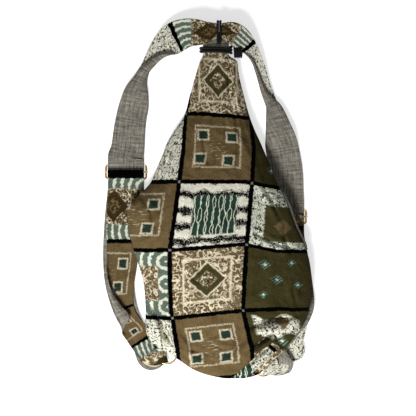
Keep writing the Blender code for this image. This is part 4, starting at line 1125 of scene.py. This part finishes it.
def makeSlider(key, side):
    x, y = side["slider"]
    half = strap["width"] / 2 + slider["sideClear"] + slider["bar"]
    far, low = slider["length"] / 2, slider["bar"]
    corners = [(x - half, y - far), (x + half, y - far), (x + half, y + far), (x - half, y + far)]
    parts = [roundTube("frame", [(*p, low) for p in roundedPath(corners, 4.0)], slider["bar"], goldWire, sides=16, closed=True)]
    bridge = [(x - half, y, low)]
    for sign in (-1, 1):
        arc = []
        for turn in np.linspace(0, math.pi / 2, 8):
            arc.append((x + sign * (half - 2.5 + 2.5 * math.cos(turn)), y, centreBar - 2.5 + 2.5 * math.sin(turn)))
        bridge += arc if sign < 0 else arc[::-1]
    bridge.append((x + half, y, low))
    parts.append(roundTube("bridge", bridge, slider["bar"] * 0.96, goldWire, sides=16))
    for sign in (-1, 1):
        out = np.linspace(0, 1, 6)
        nub = [(x + sign * (half + slider["nub"] * t), y, low) for t in out]
        parts.append(roundTube("nub", nub, slider["bar"] * 0.8 * np.sqrt(np.maximum(0.15, 1 - (out - 0.3).clip(0) ** 2 * 1.6)), goldWire, sides=14))
    return joinAll(key + "Slider", parts)


def makeRing(key, side):
    turn = np.linspace(0, 2 * math.pi, 72, endpoint=False)
    x, y = side["ring"]
    path = np.stack([x + wireRing["radius"] * np.cos(turn), y + wireRing["radius"] * np.sin(turn), turn * 0 + ringLevel], 1)
    return roundTube(key + "Ring", path, wireRing["wire"], goldWire, sides=16, closed=True)


def makeTab(key, side):
    angle = math.radians(side["tabAt"])
    outward = np.array((math.cos(angle), math.sin(angle), 0.0))
    across = np.cross((0, 0, 1), outward)
    wire = np.array((*side["ring"], ringLevel)) + wireRing["radius"] * outward
    turn = wireRing["wire"] + 0.3 + tab["cloth"] / 2
    end = wire + outward * tab["length"]
    top = float(underHeight(end[0], end[1])) - pouch["cloth"] / 2 - tab["cloth"] / 2 - 1.5
    line = [end + np.array((0, 0, top - tab["cloth"] - 0.3 - ringLevel)), wire + outward * tab["length"] * 0.45 + np.array((0, 0, -turn * 0.75))]
    for bend in np.linspace(-math.pi / 2, math.pi / 2, 9):
        line.append(wire - outward * turn * math.cos(bend) + np.array((0, 0, turn * math.sin(bend))))
    line += [wire + outward * tab["length"] * 0.45 + np.array((0, 0, turn * 0.85)), end + np.array((0, 0, top - ringLevel))]
    hug = np.array([0.0] + [1.0] * (len(line) - 2) + [0.0])
    rows = through(np.column_stack([line, hug]), 4)
    a = np.linspace(-1, 1, 15) * tab["width"] / 2
    sag = wireRing["radius"] - np.sqrt(wireRing["radius"] ** 2 - a * a)
    grid = rows[:, None, :3] + a[None, :, None] * across - (sag[None, :] * rows[:, 3:])[..., None] * outward
    along = np.concatenate([[0], np.cumsum(np.linalg.norm(np.diff(rows[:, :3], axis=0), axis=1))])
    weave = np.stack(np.meshgrid(a * mm, along * mm), axis=-1)
    patch = np.stack([np.repeat(0.5 + a[None, :] / cellSize, len(rows), 0), np.repeat(0.2 + along[:, None] / cellSize, len(a), 1)], axis=-1)
    designs = np.full((len(rows) - 1, len(a) - 1), 1)
    return clothShell(key + "RingTab", grid, tab["cloth"], patchwork, patch, weave, designs)


strapLengths = {}
for key, side in straps.items():
    made, strapLengths[key] = makeStraps(key, side)
    pieces.update(made)
print("straps, sliders, rings and tabs made; strap lengths in mm", {k: round(v) for k, v in strapLengths.items()})


# ---- bodies and nodes ----

nodeOf = {
    "frontPanel": "front_panel", "backPanel": "back_panel", "frontLining": "front_lining",
    "backLining": "back_lining", "mouthHem": "mouth_hem", "edgeBinding": "edge_binding", "neckCord": "neck_cord",
    "cordKnot": "cord_knot", "strapLashing": "strap_lashing",
}
bodyOf, slotOf = {}, {}
for key in straps:
    for piece, node, body in (
        ("StrapPrint", "strap_print", "bag"), ("StrapLining", "strap_lining", "bag"), ("StrapEnd", "strap_end", "slide"),
        ("Slider", "slider", "slide"), ("Ring", "ring", "loop"), ("RingTab", "ring_tab", "bag"),
        ("StrapStitches", None, "bag"), ("EndStitches", None, "slide"),
    ):
        if node:
            nodeOf[key + piece] = key + "_" + node
        bodyOf[key + piece] = body if body == "bag" else key + "_" + body
for name, piece in pieces.items():
    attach(piece, bodyOf.get(name, "bag"))
    if name in nodeOf:
        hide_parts(nodeOf[name])
print("pieces placed on their bodies")

# ---- floor, light and camera ----

view = {"middle": (-4.1, -16.5), "width": 686.4, "distance": 1600.0, "level": 10.0}
light = {"world": 0.19, "key": 39.0, "keySize": 0.55, "keyFrom": (-0.45, -1.15, 1.30), "floorLift": 0.62}


def makeFloor():
    board = nodeBoard("whiteFloor", 0.9)
    board.shader.inputs["Specular IOR Level"].default_value = 0.0
    place = board.add("TexCoord").outputs["Object"]
    grain = board.span(board.noise(place, 30.0, 3.0), 0.3, 0.7, 0.0, 1.0)
    board.put(board.shader.inputs["Base Color"], board.mix(grain, tone(232, 233, 234), tone(236, 236, 237)))
    path = board.add("LightPath")
    seen = board.sum("MAXIMUM", path.outputs["Is Camera Ray"], board.sum("MAXIMUM", path.outputs["Is Glossy Ray"], path.outputs["Is Transmission Ray"]))
    board.shader.inputs["Emission Color"].default_value = (1, 1, 1, 1)
    board.put(board.shader.inputs["Emission Strength"], board.times(seen, light["floorLift"]))
    mesh = bpy.data.meshes.new("floor")
    size = 3.0
    mesh.from_pydata([(-size, -size, 0), (size, -size, 0), (size, size, 0), (-size, size, 0)], [], [(0, 1, 2, 3)])
    mesh.materials.append(board.material)
    floor = bpy.data.objects.new("floor", mesh)
    bpy.context.scene.collection.objects.link(floor)


def makeLight():
    world = bpy.data.worlds.new("studio")
    bpy.context.scene.world = world
    world.use_nodes = True
    world.node_tree.nodes["Background"].inputs["Color"].default_value = (1, 1, 1, 1)
    world.node_tree.nodes["Background"].inputs["Strength"].default_value = light["world"]
    lamp = bpy.data.lights.new("softKey", "AREA")
    lamp.shape = "SQUARE"
    lamp.size = light["keySize"]
    lamp.energy = light["key"]
    made = bpy.data.objects.new("softKey", lamp)
    bpy.context.scene.collection.objects.link(made)
    made.location = light["keyFrom"]
    aim = np.array((0.0, 0.0, 0.0)) - np.array(light["keyFrom"])
    from mathutils import Vector
    made.rotation_euler = Vector(aim).to_track_quat("-Z", "Y").to_euler()


def makeCamera():
    data = bpy.data.cameras.new("photoView")
    data.sensor_width = 36.0
    data.lens = 36.0 * (view["distance"] - view["level"]) / view["width"]
    data.clip_end = 20.0
    made = bpy.data.objects.new("photoView", data)
    bpy.context.scene.collection.objects.link(made)
    made.location = (view["middle"][0] * mm, view["middle"][1] * mm, view["distance"] * mm)
    made.rotation_euler = (0.0, 0.0, 0.0)
    bpy.context.scene.camera = made


makeFloor()
makeLight()
makeCamera()
bpy.context.scene.view_settings.view_transform = "Standard"
print("floor, light and camera made")
